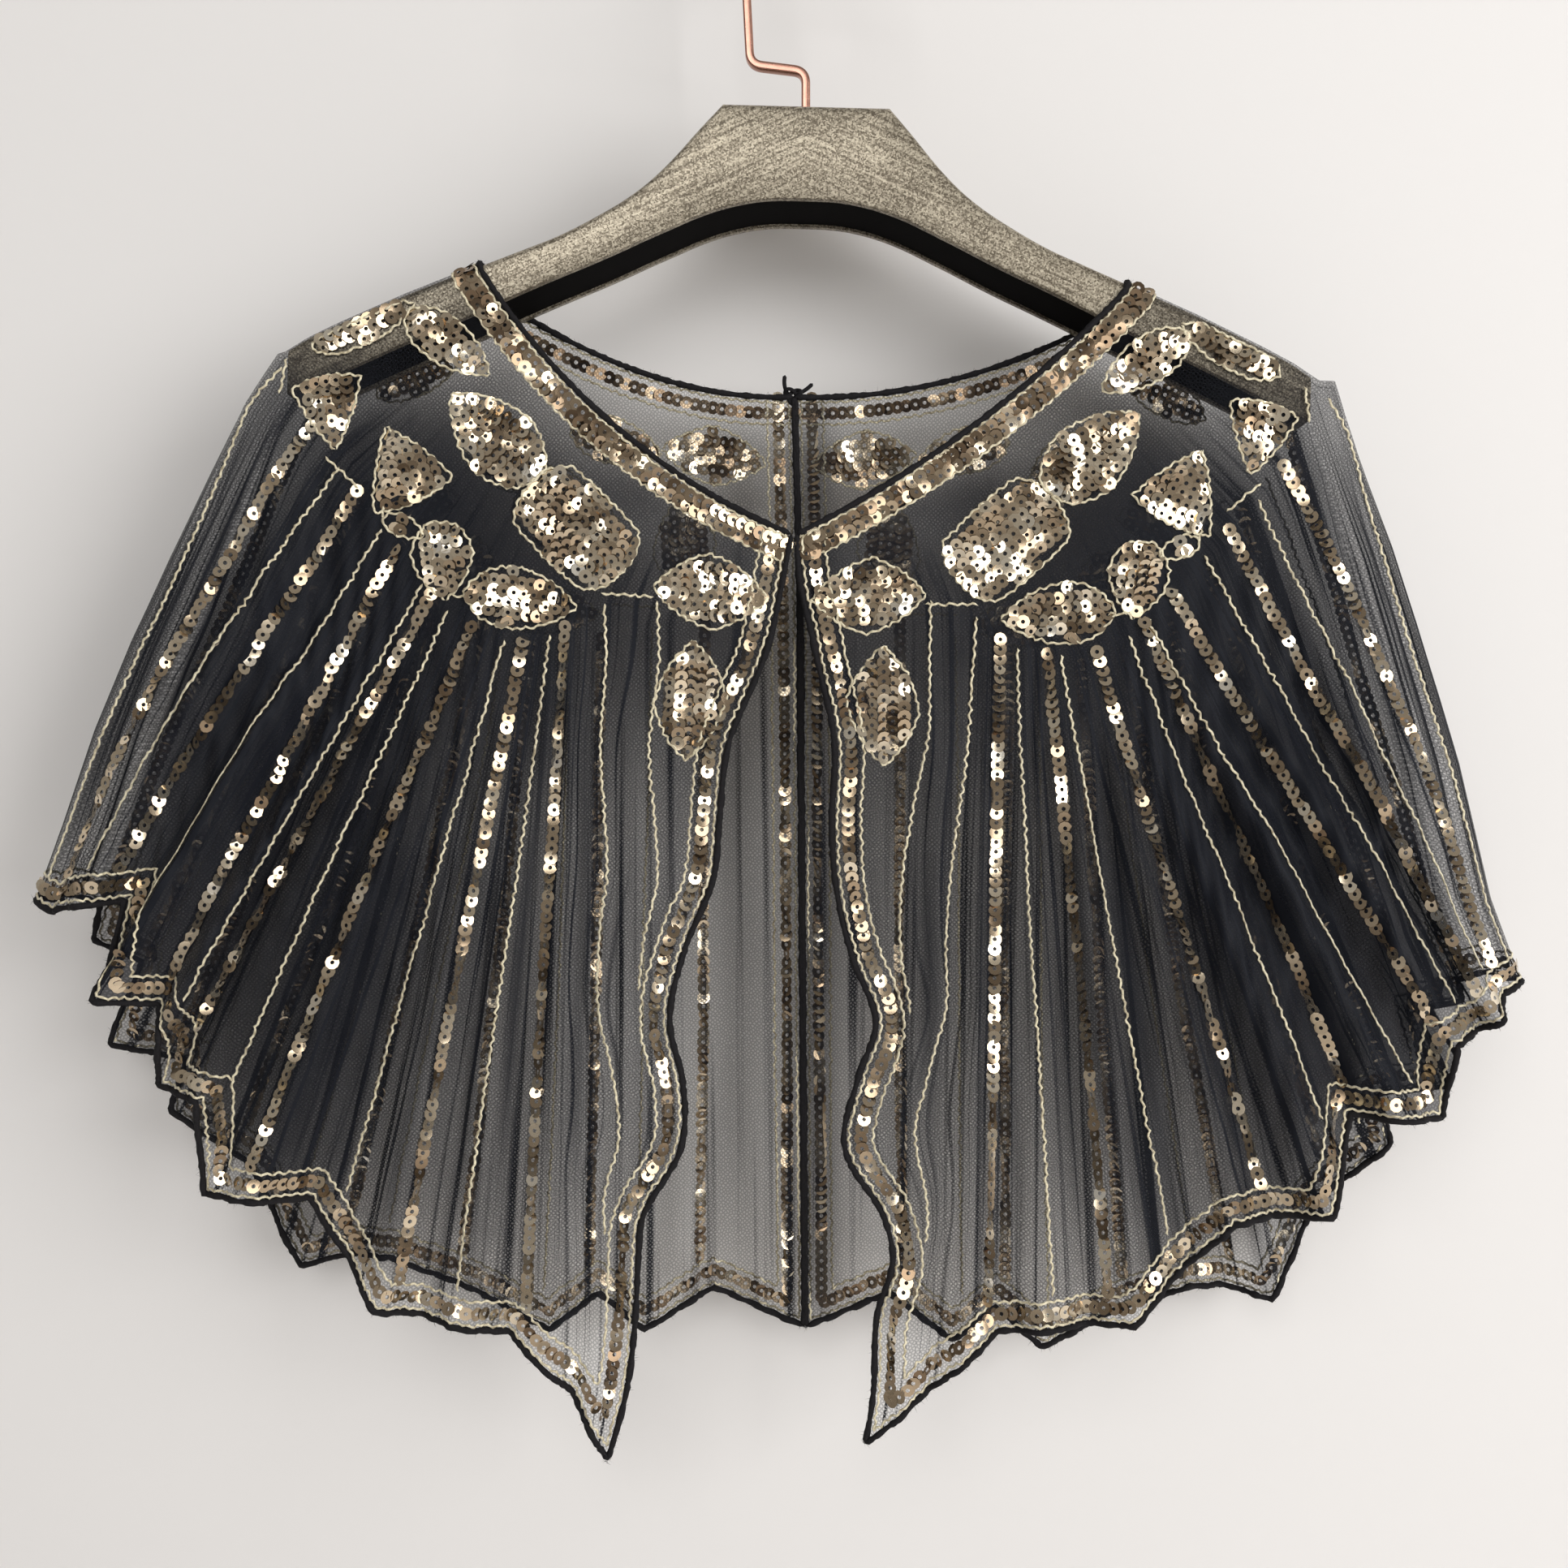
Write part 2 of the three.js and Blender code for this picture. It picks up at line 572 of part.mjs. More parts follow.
const hanger = new THREE.Group();
hanger.position.z = HANGER_TOP;
hanger.rotation.y = HANGER_TILT;
hanger.add(namedMesh("hanger_shell", hangerShell(), 0x8c7f68, 0.45, 0.35));
hanger.add(namedMesh("hanger_inlay", hangerInlay(), 0x0c0b0b, 0.6, 0));
capelet.add(hanger);
capelet.add(namedMesh("hanger_hook", hangerHook(), 0xb87a68, 0.25, 1));

for (const [name, half] of [
  ["cape_half_wearers_right", LEFT],
  ["cape_half_wearers_left", RIGHT],
]) {
  const wall = wallOnGrid(clothGrid(half), CLOTH_THICKNESS, -half.sign);
  capelet.add(namedMesh(name, wall, 0x1b1b1f, 0.8, 0));
}

export default capelet;
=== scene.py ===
# An evening capelet of sheer black net, open at the front, trimmed with champagne sequins and
# pale-gold chain stitch, hanging on a broad-shouldered glitter hanger. Sizes are in millimetres and
# become metres where a mesh is made. +Z is up and -Y is towards the wearer's front.
import math
from types import SimpleNamespace

import bpy
import numpy as np
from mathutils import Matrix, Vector


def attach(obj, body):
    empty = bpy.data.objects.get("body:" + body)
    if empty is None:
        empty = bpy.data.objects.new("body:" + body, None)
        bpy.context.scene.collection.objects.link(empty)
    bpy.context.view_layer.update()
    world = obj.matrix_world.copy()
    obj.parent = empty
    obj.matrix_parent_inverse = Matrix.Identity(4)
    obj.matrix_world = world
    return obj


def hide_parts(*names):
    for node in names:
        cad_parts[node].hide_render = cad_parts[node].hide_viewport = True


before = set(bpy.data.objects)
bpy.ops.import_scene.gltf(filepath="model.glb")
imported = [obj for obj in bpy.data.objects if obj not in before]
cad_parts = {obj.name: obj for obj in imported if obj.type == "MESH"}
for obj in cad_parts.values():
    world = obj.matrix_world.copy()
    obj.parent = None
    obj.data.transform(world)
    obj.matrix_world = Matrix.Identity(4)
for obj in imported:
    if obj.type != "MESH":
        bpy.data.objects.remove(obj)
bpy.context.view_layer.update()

# Camera
# Level and square to the front, so far away that the hanger's underside shows as a dark band.
CAMERA_AT = (-8.0, -640.0, -325.0)
WIDTH_SEEN = 575.0
SENSOR = 36.0
MM = 0.001


def add_object(name, data, place=(0, 0, 0)):
    """A new object of the scene, at a place in millimetres."""
    thing = bpy.data.objects.new(name, data)
    thing.location = [MM * c for c in place]
    bpy.context.scene.collection.objects.link(thing)
    return thing


camera_data = bpy.data.cameras.new("camera")
camera_data.sensor_width = SENSOR
camera_data.lens = SENSOR * -CAMERA_AT[1] / WIDTH_SEEN
camera_data.clip_start = 0.01
scene = bpy.context.scene
camera = add_object("camera", camera_data, CAMERA_AT)
camera.rotation_euler = (math.pi / 2, 0, 0)
scene.camera = camera

# Hanger shell
# A broad moulded hanger with a flat-topped hump and two sloping arms, open underneath and coated
# all over with fine gold glitter that lies in streaks along the arms.
HANGER_TOP = -82.6
HANGER_TILT = math.radians(1.5)
HANGER_HALF_DEPTH = 17.5
SHELL_WALL = 3.0
SHELL_CROWN = 4.0
SHELL_EDGE_ROUND = 2.6
SHELL_LIP_ROUND = 0.5
SHARP_STEP = 0.01
HUMP_RINGS = 8
ARM_RINGS = 60
UNDERSIDE_RINGS = 91
HUMP_END = 29.8
HANGER_COLUMNS = ("out", "top", "under")
HANGER_SECTIONS = (
    (0, 0, 33.6), (15, 0, 34.2), (29.8, 0, 37.6), (37.6, 8.7, 40.5), (47.7, 20.5, 45.2),
    (56.4, 29.1, 49.3), (64.5, 35.3, 53.3), (73.8, 41.1, 57.7), (86.8, 48.2, 63.5),
    (101.3, 54.4, 70.2), (117.7, 61.2, 78.2), (141.8, 71.4, 89.2), (165, 82.2, 100.4),
    (176, 87.8, 105.6), (182.5, 92, 108),
)
STREAK_SLOPE = math.radians(24)
STREAK_STRETCH = (0.02, 0.75, 1)
FLAKES_PER_METRE = 1800
FLAKE_SHARE = 0.55
GLITTER_DARK = (0.05, 0.038, 0.024, 1)
GLITTER_MIDDLE = (0.135, 0.11, 0.076, 1)
GLITTER_BRIGHT = (0.5, 0.44, 0.335, 1)


def places(*axes):
    """Places from the values along each of their axes."""
    return np.stack(axes, axis=-1)


def columns_of(rows, names):
    """A table's columns as arrays, by name."""
    return dict(zip(names, np.array(rows, float).T))


def smooth_between(keys, values, at):
    """A curve through a table's rows: on each stretch a cubic that starts and ends with the slope of
    the line between the rows on either side, so that it has no corners."""
    slope = np.gradient(values, keys)
    at = np.clip(at, keys[0], keys[-1])
    i = np.clip(np.searchsorted(keys, at, side="right") - 1, 0, len(keys) - 2)
    h = keys[i + 1] - keys[i]
    t = (at - keys[i]) / h
    start = values[i] * (1 + 2 * t) + slope[i] * h * t
    end = values[i + 1] * (3 - 2 * t) - slope[i + 1] * h * (1 - t)
    return start * (1 - t) ** 2 + end * t**2


def grid_faces(rows, columns, closed=False):
    """Four-sided faces between the neighbours of a grid of points, closed round its rows or not."""
    number = np.arange(rows * columns).reshape(rows, columns)
    if closed:
        number = np.hstack([number, number[:, :1]])
    corners = (number[:-1, :-1], number[:-1, 1:], number[1:, 1:], number[1:, :-1])
    return np.stack(corners, axis=-1).reshape(-1, 4)


def mesh_piece(name, points, faces, material, smooth=True, sharp=None):
    """A piece of the object from points in millimetres and faces as lists of point numbers."""
    mesh = bpy.data.meshes.new(name)
    mesh.from_pydata((np.reshape(points, (-1, 3)) * MM).tolist(), [], faces)
    mesh.materials.append(material)
    mesh.polygons.foreach_set("use_smooth", [smooth] * len(mesh.polygons))
    if sharp:
        mesh.set_sharp_from_angle(angle=math.radians(sharp))
    piece = add_object(name, mesh)
    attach(piece, "root")
    return piece


def loft(rings):
    """Points and faces of a closed body through rings of points, capped at both ends."""
    rings = np.asarray(rings, float)
    rows, count = rings.shape[:2]
    faces = grid_faces(rows, count, closed=True).tolist()
    faces.append(list(range(count - 1, -1, -1)))
    faces.append(list(range((rows - 1) * count, rows * count)))
    return rings.reshape(-1, 3), faces


def on_hanger(points):
    """Points on the upright hanger, turned by its tilt and moved to its place."""
    x, y, z = np.moveaxis(np.asarray(points, float), -1, 0)
    c, s = math.cos(HANGER_TILT), math.sin(HANGER_TILT)
    return places(x * c + z * s, y, z * c - x * s + HANGER_TOP)


def hanger_lines(out):
    """How far the hanger's top and underside lie below its flat top, at distances out: flat over the
    hump, then a curve without corners."""
    keys, tops, unders = hanger_table.values()
    slope = keys >= HUMP_END
    top = smooth_between(keys[slope], tops[slope], np.abs(out))
    top = np.where(np.abs(out) < HUMP_END, 0, top)
    mirrored = np.concatenate([-keys[:0:-1], keys])
    under = np.concatenate([unders[:0:-1], unders])
    return top, smooth_between(mirrored, under, out)


def rounded_corner(y, z, radius, start, steps=5):
    """A quarter circle about (y, z), anticlockwise from the angle start, in degrees."""
    angle = np.radians(start + np.linspace(0, 90, steps))
    return places(y + radius * np.cos(angle), z + radius * np.sin(angle))


def shell_ring(out, top, under, inside_top):
    """An arch-shaped section of the shell, in the YZ plane: up the back, over the top and down the
    front, then back inside its wall."""
    half, r, lip = HANGER_HALF_DEPTH, SHELL_EDGE_ROUND, SHELL_LIP_ROUND
    inner = half - SHELL_WALL
    outline = np.concatenate(
        [
            rounded_corner(half - lip, -under + lip, lip, 270, 3),
            rounded_corner(half - r, -top - r, r, 0),
            rounded_corner(r - half, -top - r, r, 90),
            rounded_corner(lip - half, -under + lip, lip, 180, 3),
            [(-inner, -under), (-inner, -inside_top), (inner, -inside_top), (inner, -under)],
        ]
    )
    return np.column_stack([np.full(len(outline), out), outline])


def set_inputs(node, inputs):
    """Gives each input of a node its value, or links it to another node's output."""
    for socket, value in inputs.items():
        if isinstance(value, bpy.types.NodeSocket):
            node.id_data.links.new(value, node.inputs[socket])
        else:
            node.inputs[socket].default_value = value


def new_material(name):
    """A material, with the tree of its nodes."""
    material = bpy.data.materials.new(name)
    material.use_nodes = True
    return material, material.node_tree


def add(tree, kind, output, inputs={}, **settings):
    """An output of a new node that has these inputs and settings."""
    node = tree.nodes.new("ShaderNode" + kind)
    for setting, value in settings.items():
        setattr(node, setting, value)
    set_inputs(node, inputs)
    return node.outputs[output]


def add_ramp(tree, level, *stops):
    """The colour at a level on a ramp through stops, each a place from 0 to 1 and a colour."""
    colour = add(tree, "ValToRGB", "Color", {"Fac": level})
    elements = colour.node.color_ramp.elements
    for element, (position, tone) in zip(elements, (stops[0], stops[-1])):
        element.position, element.color = position, tone
    for position, tone in stops[1:-1]:
        elements.new(position).color = tone
    return colour


def add_noise(tree, **looks):
    """A noise through the object's own space."""
    return add(tree, "TexNoise", "Fac", {"Vector": add(tree, "TexCoord", "Object"), **looks})


def add_relief(tree, height, strength, distance=0.0003):
    """The normal of a surface that stands out by a height."""
    return add(tree, "Bump", "Normal", {"Height": height, "Strength": strength, "Distance": distance})


def finish(material, inputs):
    """The material, once its shader has these inputs."""
    set_inputs(material.node_tree.nodes["Principled BSDF"], inputs)
    return material


def glitter():
    """Fine flakes of gold and silver, each with a tone and a tilt of its own, in streaks that run
    along the arms and meet at the middle."""
    material, tree = new_material("hanger_glitter")
    along = add(tree, "UVMap", "UV", uv_map="streaks")
    stretched = add(tree, "Mapping", "Vector", {"Vector": along, "Scale": STREAK_STRETCH})
    coarse = {"Vector": stretched, "Scale": 1, "Detail": 6, "Roughness": 0.75}
    streaks = add(tree, "TexNoise", "Fac", coarse)
    place = add(tree, "TexCoord", "Object")
    flakes = add(tree, "TexVoronoi", "Color", {"Vector": place, "Scale": FLAKES_PER_METRE})
    parts = {0: flakes, 1: FLAKE_SHARE, 2: streaks}
    level = add(tree, "Math", "Value", parts, operation="MULTIPLY_ADD")
    colour = add_ramp(tree, level, (0.34, GLITTER_DARK), (0.66, GLITTER_MIDDLE), (0.98, GLITTER_BRIGHT))
    normal = add_relief(tree, flakes, 0.6)
    looks = {"Base Color": colour, "Metallic": 0.55, "Roughness": 0.38, "Normal": normal}
    return finish(material, looks)


def add_map(mesh, name, flat):
    """A map from each point of a mesh to a flat place."""
    corner = np.empty(len(mesh.loops), int)
    mesh.loops.foreach_get("vertex_index", corner)
    layer = mesh.uv_layers.new(name=name)
    layer.data.foreach_set("uv", flat.reshape(-1, 2)[corner].ravel())


def add_streak_map(mesh):
    """A map in millimetres whose first axis runs down both arms from the middle."""
    co = np.empty(len(mesh.vertices) * 3)
    mesh.vertices.foreach_get("co", co)
    x, _, z = co.reshape(-1, 3).T / MM
    x = np.abs(x)
    c, s = math.cos(STREAK_SLOPE), math.sin(STREAK_SLOPE)
    add_map(mesh, "streaks", np.column_stack([x * c - z * s, x * s + z * c]))


hanger_table = columns_of(HANGER_SECTIONS, HANGER_COLUMNS)
hanger_end = HANGER_SECTIONS[-1][0]
cavity_end = hanger_end - SHELL_WALL
hump = np.linspace(0, HUMP_END, HUMP_RINGS)
one_arm = np.unique([*hump, *np.linspace(HUMP_END, hanger_end, ARM_RINGS)])
both_arms = np.concatenate([-one_arm[:0:-1], one_arm])
cavity_ends = [-cavity_end, -cavity_end + SHARP_STEP, cavity_end - SHARP_STEP, cavity_end]
shell_rings = []
for out in np.sort([*both_arms, *cavity_ends]):
    top, under = hanger_lines(out)
    inside_top = top + SHELL_CROWN if abs(out) < cavity_end else under - SHARP_STEP
    shell_rings.append(shell_ring(out, top, under, inside_top))
points, faces = loft(on_hanger(shell_rings))
shell = mesh_piece("hanger_glitter_shell", points, faces, glitter(), sharp=40)
add_streak_map(shell.data)
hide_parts("hanger_shell")

# Hanger underside
# The black moulding that fills the shell from below, a little inside its lip.
UNDERSIDE_GAP = 0.3
UNDERSIDE_RECESS = 1.0
UNDERSIDE_COLOUR = (0.004, 0.0035, 0.0035, 1)


def satin_black():
    """Black moulded plastic with a faint grain."""
    material, tree = new_material("hanger_underside")
    normal = add_relief(tree, add_noise(tree, Scale=900), 0.25, 0.0002)
    looks = {"Base Color": UNDERSIDE_COLOUR, "Roughness": 0.8, "Specular IOR Level": 0.04, "Normal": normal}
    return finish(material, looks)


inlay_half = HANGER_HALF_DEPTH - SHELL_WALL - UNDERSIDE_GAP
inlay_end = cavity_end - UNDERSIDE_GAP
inlay_rings = []
for out in np.linspace(-inlay_end, inlay_end, UNDERSIDE_RINGS):
    top, under = hanger_lines(out)
    low, high = UNDERSIDE_RECESS - under, -top - SHELL_CROWN - UNDERSIDE_GAP
    corners = [(-inlay_half, high), (-inlay_half, low), (inlay_half, low), (inlay_half, high)]
    inlay_rings.append([(out, y, z) for y, z in corners][::-1])
points, faces = loft(on_hanger(inlay_rings))
underside = mesh_piece("hanger_black_underside", points, faces, satin_black(), sharp=30)
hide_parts("hanger_inlay")

# Hanger hook
# A bent bar of rose-gold metal, with a jog to one side so that its arc hangs over the middle.
HOOK_WIDTH = 3.2
HOOK_DEPTH = 4.0
HOOK_CORNER = 0.7
HOOK_ARC_RADIUS = 22.5
HOOK_BEND_RADIUS = 4.5
HOOK_SEAT_GAP = 0.3
HOOK_JOG_FOOT = -64.0
HOOK_JOG_TOP = -61.5
HOOK_JOG_OUT = -20.4
HOOK_ARC_END = math.radians(-16)
HOOK_ARC_STEPS = 60
HOOK_COLOUR = (0.46, 0.24, 0.18, 1)


def unit(vectors):
    """Vectors drawn out to a length of 1."""
    return vectors / np.linalg.norm(vectors, axis=-1, keepdims=True)


def curve(a, b, c, steps=14):
    """The quadratic curve from a to c that is drawn towards b."""
    t = np.linspace(0, 1, steps)[:, None]
    return a * (1 - t) ** 2 + b * 2 * t * (1 - t) + c * t**2


def bend(before, corner, after, radius):
    """A rounded corner: the curve between the points a radius before and after it."""
    start = corner + unit(before - corner) * radius
    end = corner + unit(after - corner) * radius
    return curve(start, corner, end, steps=10)


def hook_line():
    """The middle line: up from the foot, along the jog, up the riser and round the arc."""
    centre = HOOK_WIDTH / 2 - HOOK_ARC_RADIUS
    foot = np.array([0, HANGER_TOP + HOOK_SEAT_GAP])
    jog = np.array([0, HOOK_JOG_FOOT])
    riser = np.array([HOOK_JOG_OUT, HOOK_JOG_TOP])
    shoulder = np.array([-HOOK_ARC_RADIUS, centre])
    angle = np.linspace(math.pi, HOOK_ARC_END, HOOK_ARC_STEPS)
    arc = HOOK_ARC_RADIUS * places(np.cos(angle), np.sin(angle)) + [0, centre]
    lower = bend(foot, jog, riser, HOOK_BEND_RADIUS)
    upper = bend(jog, riser, shoulder, HOOK_BEND_RADIUS)
    return np.concatenate([[foot], lower, upper, arc])


def rose_gold():
    """Polished rose-gold plating with faint drawing lines."""
    material, tree = new_material("hook_metal")
    scratches = add_noise(tree, Scale=300, Detail=3)
    polish = add(tree, "MapRange", "Result", {"Value": scratches, "To Min": 0.18, "To Max": 0.34})
    return finish(material, {"Base Color": HOOK_COLOUR, "Metallic": 1, "Roughness": polish})


line = hook_line()
along = unit(np.gradient(line, axis=0))
wide, deep = HOOK_WIDTH / 2 - HOOK_CORNER, HOOK_DEPTH / 2 - HOOK_CORNER
quarters = ((wide, deep, 0), (-wide, deep, 90), (-wide, -deep, 180), (wide, -deep, 270))
section = np.concatenate([rounded_corner(x, y, HOOK_CORNER, start, 4) for x, y, start in quarters])
across = places(along[:, 1], np.zeros(len(line)), -along[:, 0])
middle_line = places(line[:, 0], np.zeros(len(line)), line[:, 1])
rings = middle_line[:, None] + across[:, None] * section[None, :, :1] + section[None, :, 1:] * [0, 1, 0]
points, faces = loft(rings)
hook = mesh_piece("hanger_rose_gold_hook", points, faces, rose_gold(), sharp=50)
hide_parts("hanger_hook")

# Net halves
# Each half is one piece of fine black net, from the wavy front edge over the shoulder to the seam
# down the middle of the back. It hangs in soft folds from the hanger's arm, with a zig-zag hem.
CLOTH_LIFT = 1.3
CLOTH_HALF_DEPTH = 18.5
CLOTH_SPREAD = 3.0
SEAM_HALF_GAP = 0.35
SHOULDER_END = 189
ARM_MEAN_DROP = 75.0
ARM_INWARD = (0.3, -0.95)
SIDE_INWARD = (0.9, -0.4)
SIDE_TURNED_BY = 1.25
SIDE_ROUND_BY = 1.5
FOLDS_START = 0.05
FOLDS_FULL = 0.55
EDGE_WAVE_REACH = 4.0
SIDE_REACH = 5.0

# The strip over the shoulder and down the side, from its front corner to its back one: how far
# across the depth, and how far inside its guide it lies on the arm and further down.
STRIP_COLUMNS = ("across", "on_arm", "below")
SHOULDER_STRIP = (
    (-1, 4, 11), (-0.94, 1.2, 6), (-0.75, 0, 1.5), (-0.4, -0.3, 0), (0, -0.4, 4.5), (0.4, -0.3, 0),
    (0.75, 0, 1.5), (0.94, 1.2, 6), (1, 4, 11),
)

# Ribs run down the cloth: where each crosses the yoke line and meets the hem, and how far it
# stands out as the crest or the trough of a fold.
RIB_COLUMNS = ("yoke_x", "yoke_z", "hem_x", "hem_z", "out")
LEFT_FRONT_RIBS = (
    (-12.6, -258, -70.4, -564.5, 1), (-60, -260, -76, -553, 5), (-77.5, -261, -83, -540, 1),
    (-82, -266, -94, -529, 7), (-86.5, -270, -105, -518.5, 2), (-92, -272, -121, -515.5, 9),
    (-98, -274, -137, -512, 2), (-103, -274.5, -151.5, -509, 10), (-106, -274, -161, -493, 3),
    (-112, -273, -176, -471.5, 1), (-117.5, -270, -194, -470.5, 12),
    (-123.5, -267, -213, -469.5, 3), (-130, -261, -212, -435.5, 12),
    (-134, -257, -229.5, -431.5, 1), (-138.5, -251.5, -226, -414.5, 10),
    (-144.5, -244, -229.5, -403, 1), (-150, -236, -248.5, -400.5, 13),
    (-154, -229.5, -245.5, -388, 3), (-160, -221, -241, -366, 1), (-168, -211, -253, -367, 11),
    (-177, -198, -264, -368, 4), (-188, -177, -268, -369, 0),
)
RIGHT_FRONT_RIBS = (
    (-3, -258, 19.8, -558.5, 1), (40, -259, 31, -549, 5), (56.5, -262, 42, -540, 1),
    (64, -269, 55, -529, 7), (71, -275.5, 68, -518, 2), (77, -277, 84, -516.5, 9),
    (82, -278, 99, -515.5, 2), (87.5, -279, 114.5, -514, 10), (91.5, -279, 132, -497, 2),
    (98.5, -280, 150, -479, 9), (104.5, -277.5, 167, -477.5, 1), (111, -274.5, 183.5, -476, 12),
    (118, -270, 192, -441.5, 2), (121.5, -266, 208, -442.5, 13), (126, -261, 225, -443, 2),
    (134, -252, 226, -416, 12), (143, -242, 238, -411.5, 2), (152, -233, 243, -408, 10),
    (163, -221, 246, -402, 2), (184, -188, 248, -399, 0),
)
LEFT_BACK_RIBS = (
    (-2.5, -258, -0.6, -531, 2), (-38, -262, -35, -518, 8), (-60, -266, -61, -532, 1),
    (-77, -270, -79, -520, 7), (-90, -273, -97, -532, 1), (-104, -273, -130, -518, 9),
    (-113, -270, -158, -505, 2), (-120, -266, -175, -506, 11), (-127, -260, -192, -508, 2),
    (-135, -251, -214, -472, 12), (-143, -242, -241, -449, 2), (-150, -234, -238, -431, 10),
    (-157, -225, -264, -424, 1), (-165, -214, -256, -394, 11), (-175, -199, -271, -385, 2),
    (-188, -177, -268, -372, 0),
)
RIGHT_BACK_NARROWER = 0.925
RIGHT_BACK_YOKE_DROP = 10.0
RIGHT_BACK_HEM_DROP = 13.0
FULL_DROP_OUT = 190.0

# The front edges are cut in waves: at each bend, its height and where each side's edge hangs.
FRONT_EDGE_COLUMNS = ("z", "left", "right")
FRONT_EDGE = (
    (-230, -4.35, -3.65), (-250, -8, -2.6), (-277, -14, 3), (-312, -28, 10), (-338, -31, 9),
    (-358, -33, 10), (-386, -44, 16), (-410, -48.5, 24.5), (-430, -44, 18), (-454, -44.5, 13.5),
    (-480, -58.5, 28), (-492, -59.5, 30.5), (-513, -60.5, 25), (-541, -64, 23.5),
    (-566, -70.8, 19.4),
)
LEFT_SIDE = (
    (-201, -188), (-214, -213), (-229, -243), (-243, -273), (-256, -305), (-267, -338),
    (-277, -366),
)
RIGHT_SIDE = (
    (193, -193), (201.5, -216), (211, -240), (220, -267), (228, -293), (235, -317), (246, -365),
    (257, -395),
)

# The longer creases, each a soft ridge or trough from its top to its foot: their places in the
# front or back view, its half width, how far it stands out, and how much more net gathers there,
# which darkens the net partly as net that lies double and partly as painted shade in the crease.
CREASE_COLUMNS = ("top_x", "top_z", "foot_x", "foot_z", "width", "lift", "gather_and_shade")
LEFT_FRONT_CREASES = (
    (-183, -178, -214, -232, 4, 2.2, 0.9), (-214, -232, -237, -278, 4.5, 2.4, 0.8),
    (-237, -278, -264, -348, 5, 2, 0.6), (-199, -232, -226, -306, 7, -2.5, 0.7),
    (-210, -270, -234, -372, 8, 2.5, 0.6), (-186, -226, -196, -335, 6, 3, 0.9),
    (-196, -335, -216, -392, 7, 2.4, 0.5), (-168, -222, -191, -342, 9, -3, 0.9),
    (-202, -248, -209, -363, 3.5, 2, 0.8), (-176, -206, -187, -330, 3.2, 1.8, 0.6),
    (-141, -188, -141, -208, 1.4, 0.8, 0.5), (-155, -287, -162, -323, 3, 1.6, 0.7),
    (-116, -272, -131, -350, 4, 2, 0.6), (-95, -272, -99, -320, 3.6, -1.8, 0.7),
    (-113, -335, -116, -496, 5, 2, 0.7), (-85, -250, -83, -330, 3.2, 1.8, 0.6),
    (-76, -306, -85, -478, 6, 2.2, 0.6), (-56, -364, -59, -464, 4, 1.6, 0.8),
    (-150, -352, -164, -462, 13, -2.6, 0.75), (-137, -388, -147, -478, 4, 2.2, 0.5),
    (-126, -330, -133, -420, 3.5, 1.6, 0.4),
)
RIGHT_FRONT_CREASES = (
    (181, -208, 190, -276, 4.5, 2.2, 0.9), (190, -276, 202, -364, 4.5, 2.6, 0.8),
    (202, -364, 214, -420, 5, 2, 0.6), (190, -205, 205, -264, 4, 2, 0.9),
    (205, -264, 216, -320, 4.2, 2.4, 0.8), (216, -320, 226, -386, 5, 2, 0.6),
    (166, -226, 183, -330, 5, -2, 0.7), (124, -206, 118, -232, 5, -1.6, 0.6),
    (133, -306, 162, -392, 15, -3, 0.85), (162, -330, 172, -452, 8, 2.6, 0.7),
    (150, -340, 141, -462, 8, 2, 0.6), (45, -270, 45, -335, 3, 1.6, 0.6),
    (50, -295, 42, -408, 4, 2, 0.6), (91, -292, 101, -362, 3.5, 2, 0.8),
    (101, -362, 113, -490, 4.2, 2, 0.7), (102, -306, 117, -392, 3.5, -2, 0.7),
    (117, -392, 123, -480, 4, 1.8, 0.6), (54, -263, 60, -282, 5, 1.4, 0.6),
    (76, -300, 80, -440, 5, -1.8, 0.3), (64, -400, 66, -500, 5, 1.6, 0.4),
)
LEFT_BACK_CREASES = (
    (-4, -182, -3, -531, 4.5, 0, 1.0), (-24, -215, -30, -470, 6, 3, 0.5),
    (-52, -240, -50, -420, 5, -2.4, 0.4), (-70, -285, -74, -500, 6, 2.8, 0.5),
    (-96, -255, -104, -440, 7, -3, 0.5), (-118, -290, -142, -480, 7, 3, 0.6),
    (-134, -230, -168, -430, 8, -3, 0.6), (-154, -245, -196, -440, 6, 2.6, 0.5),
    (-170, -215, -222, -400, 6, -2.4, 0.6), (-188, -205, -242, -360, 6, 2.6, 0.6),
)
RIGHT_BACK_CREASES = (
    (4, -182, 6, -531, 7, 0, 1.9), (20, -220, 26, -450, 6, -2.6, 0.4),
    (44, -250, 46, -490, 6, 3, 0.5), (66, -265, 70, -430, 5, -2.4, 0.4),
    (88, -250, 100, -470, 7, 3, 0.6), (112, -285, 130, -490, 7, -3, 0.5),
    (128, -240, 158, -440, 8, 3, 0.6), (148, -255, 188, -450, 6, -2.6, 0.5),
    (166, -220, 206, -400, 6, 2.6, 0.6), (184, -215, 226, -380, 6, -2.4, 0.6),
)
CREASE_ENDS = 0.16
CREASE_BEND = 0.12
CREASE_SWAY = 9
# How many layers of net a crease adds: net that lies double, and painted shade.
CREASE_GATHER_AND_SHADE = 2.0

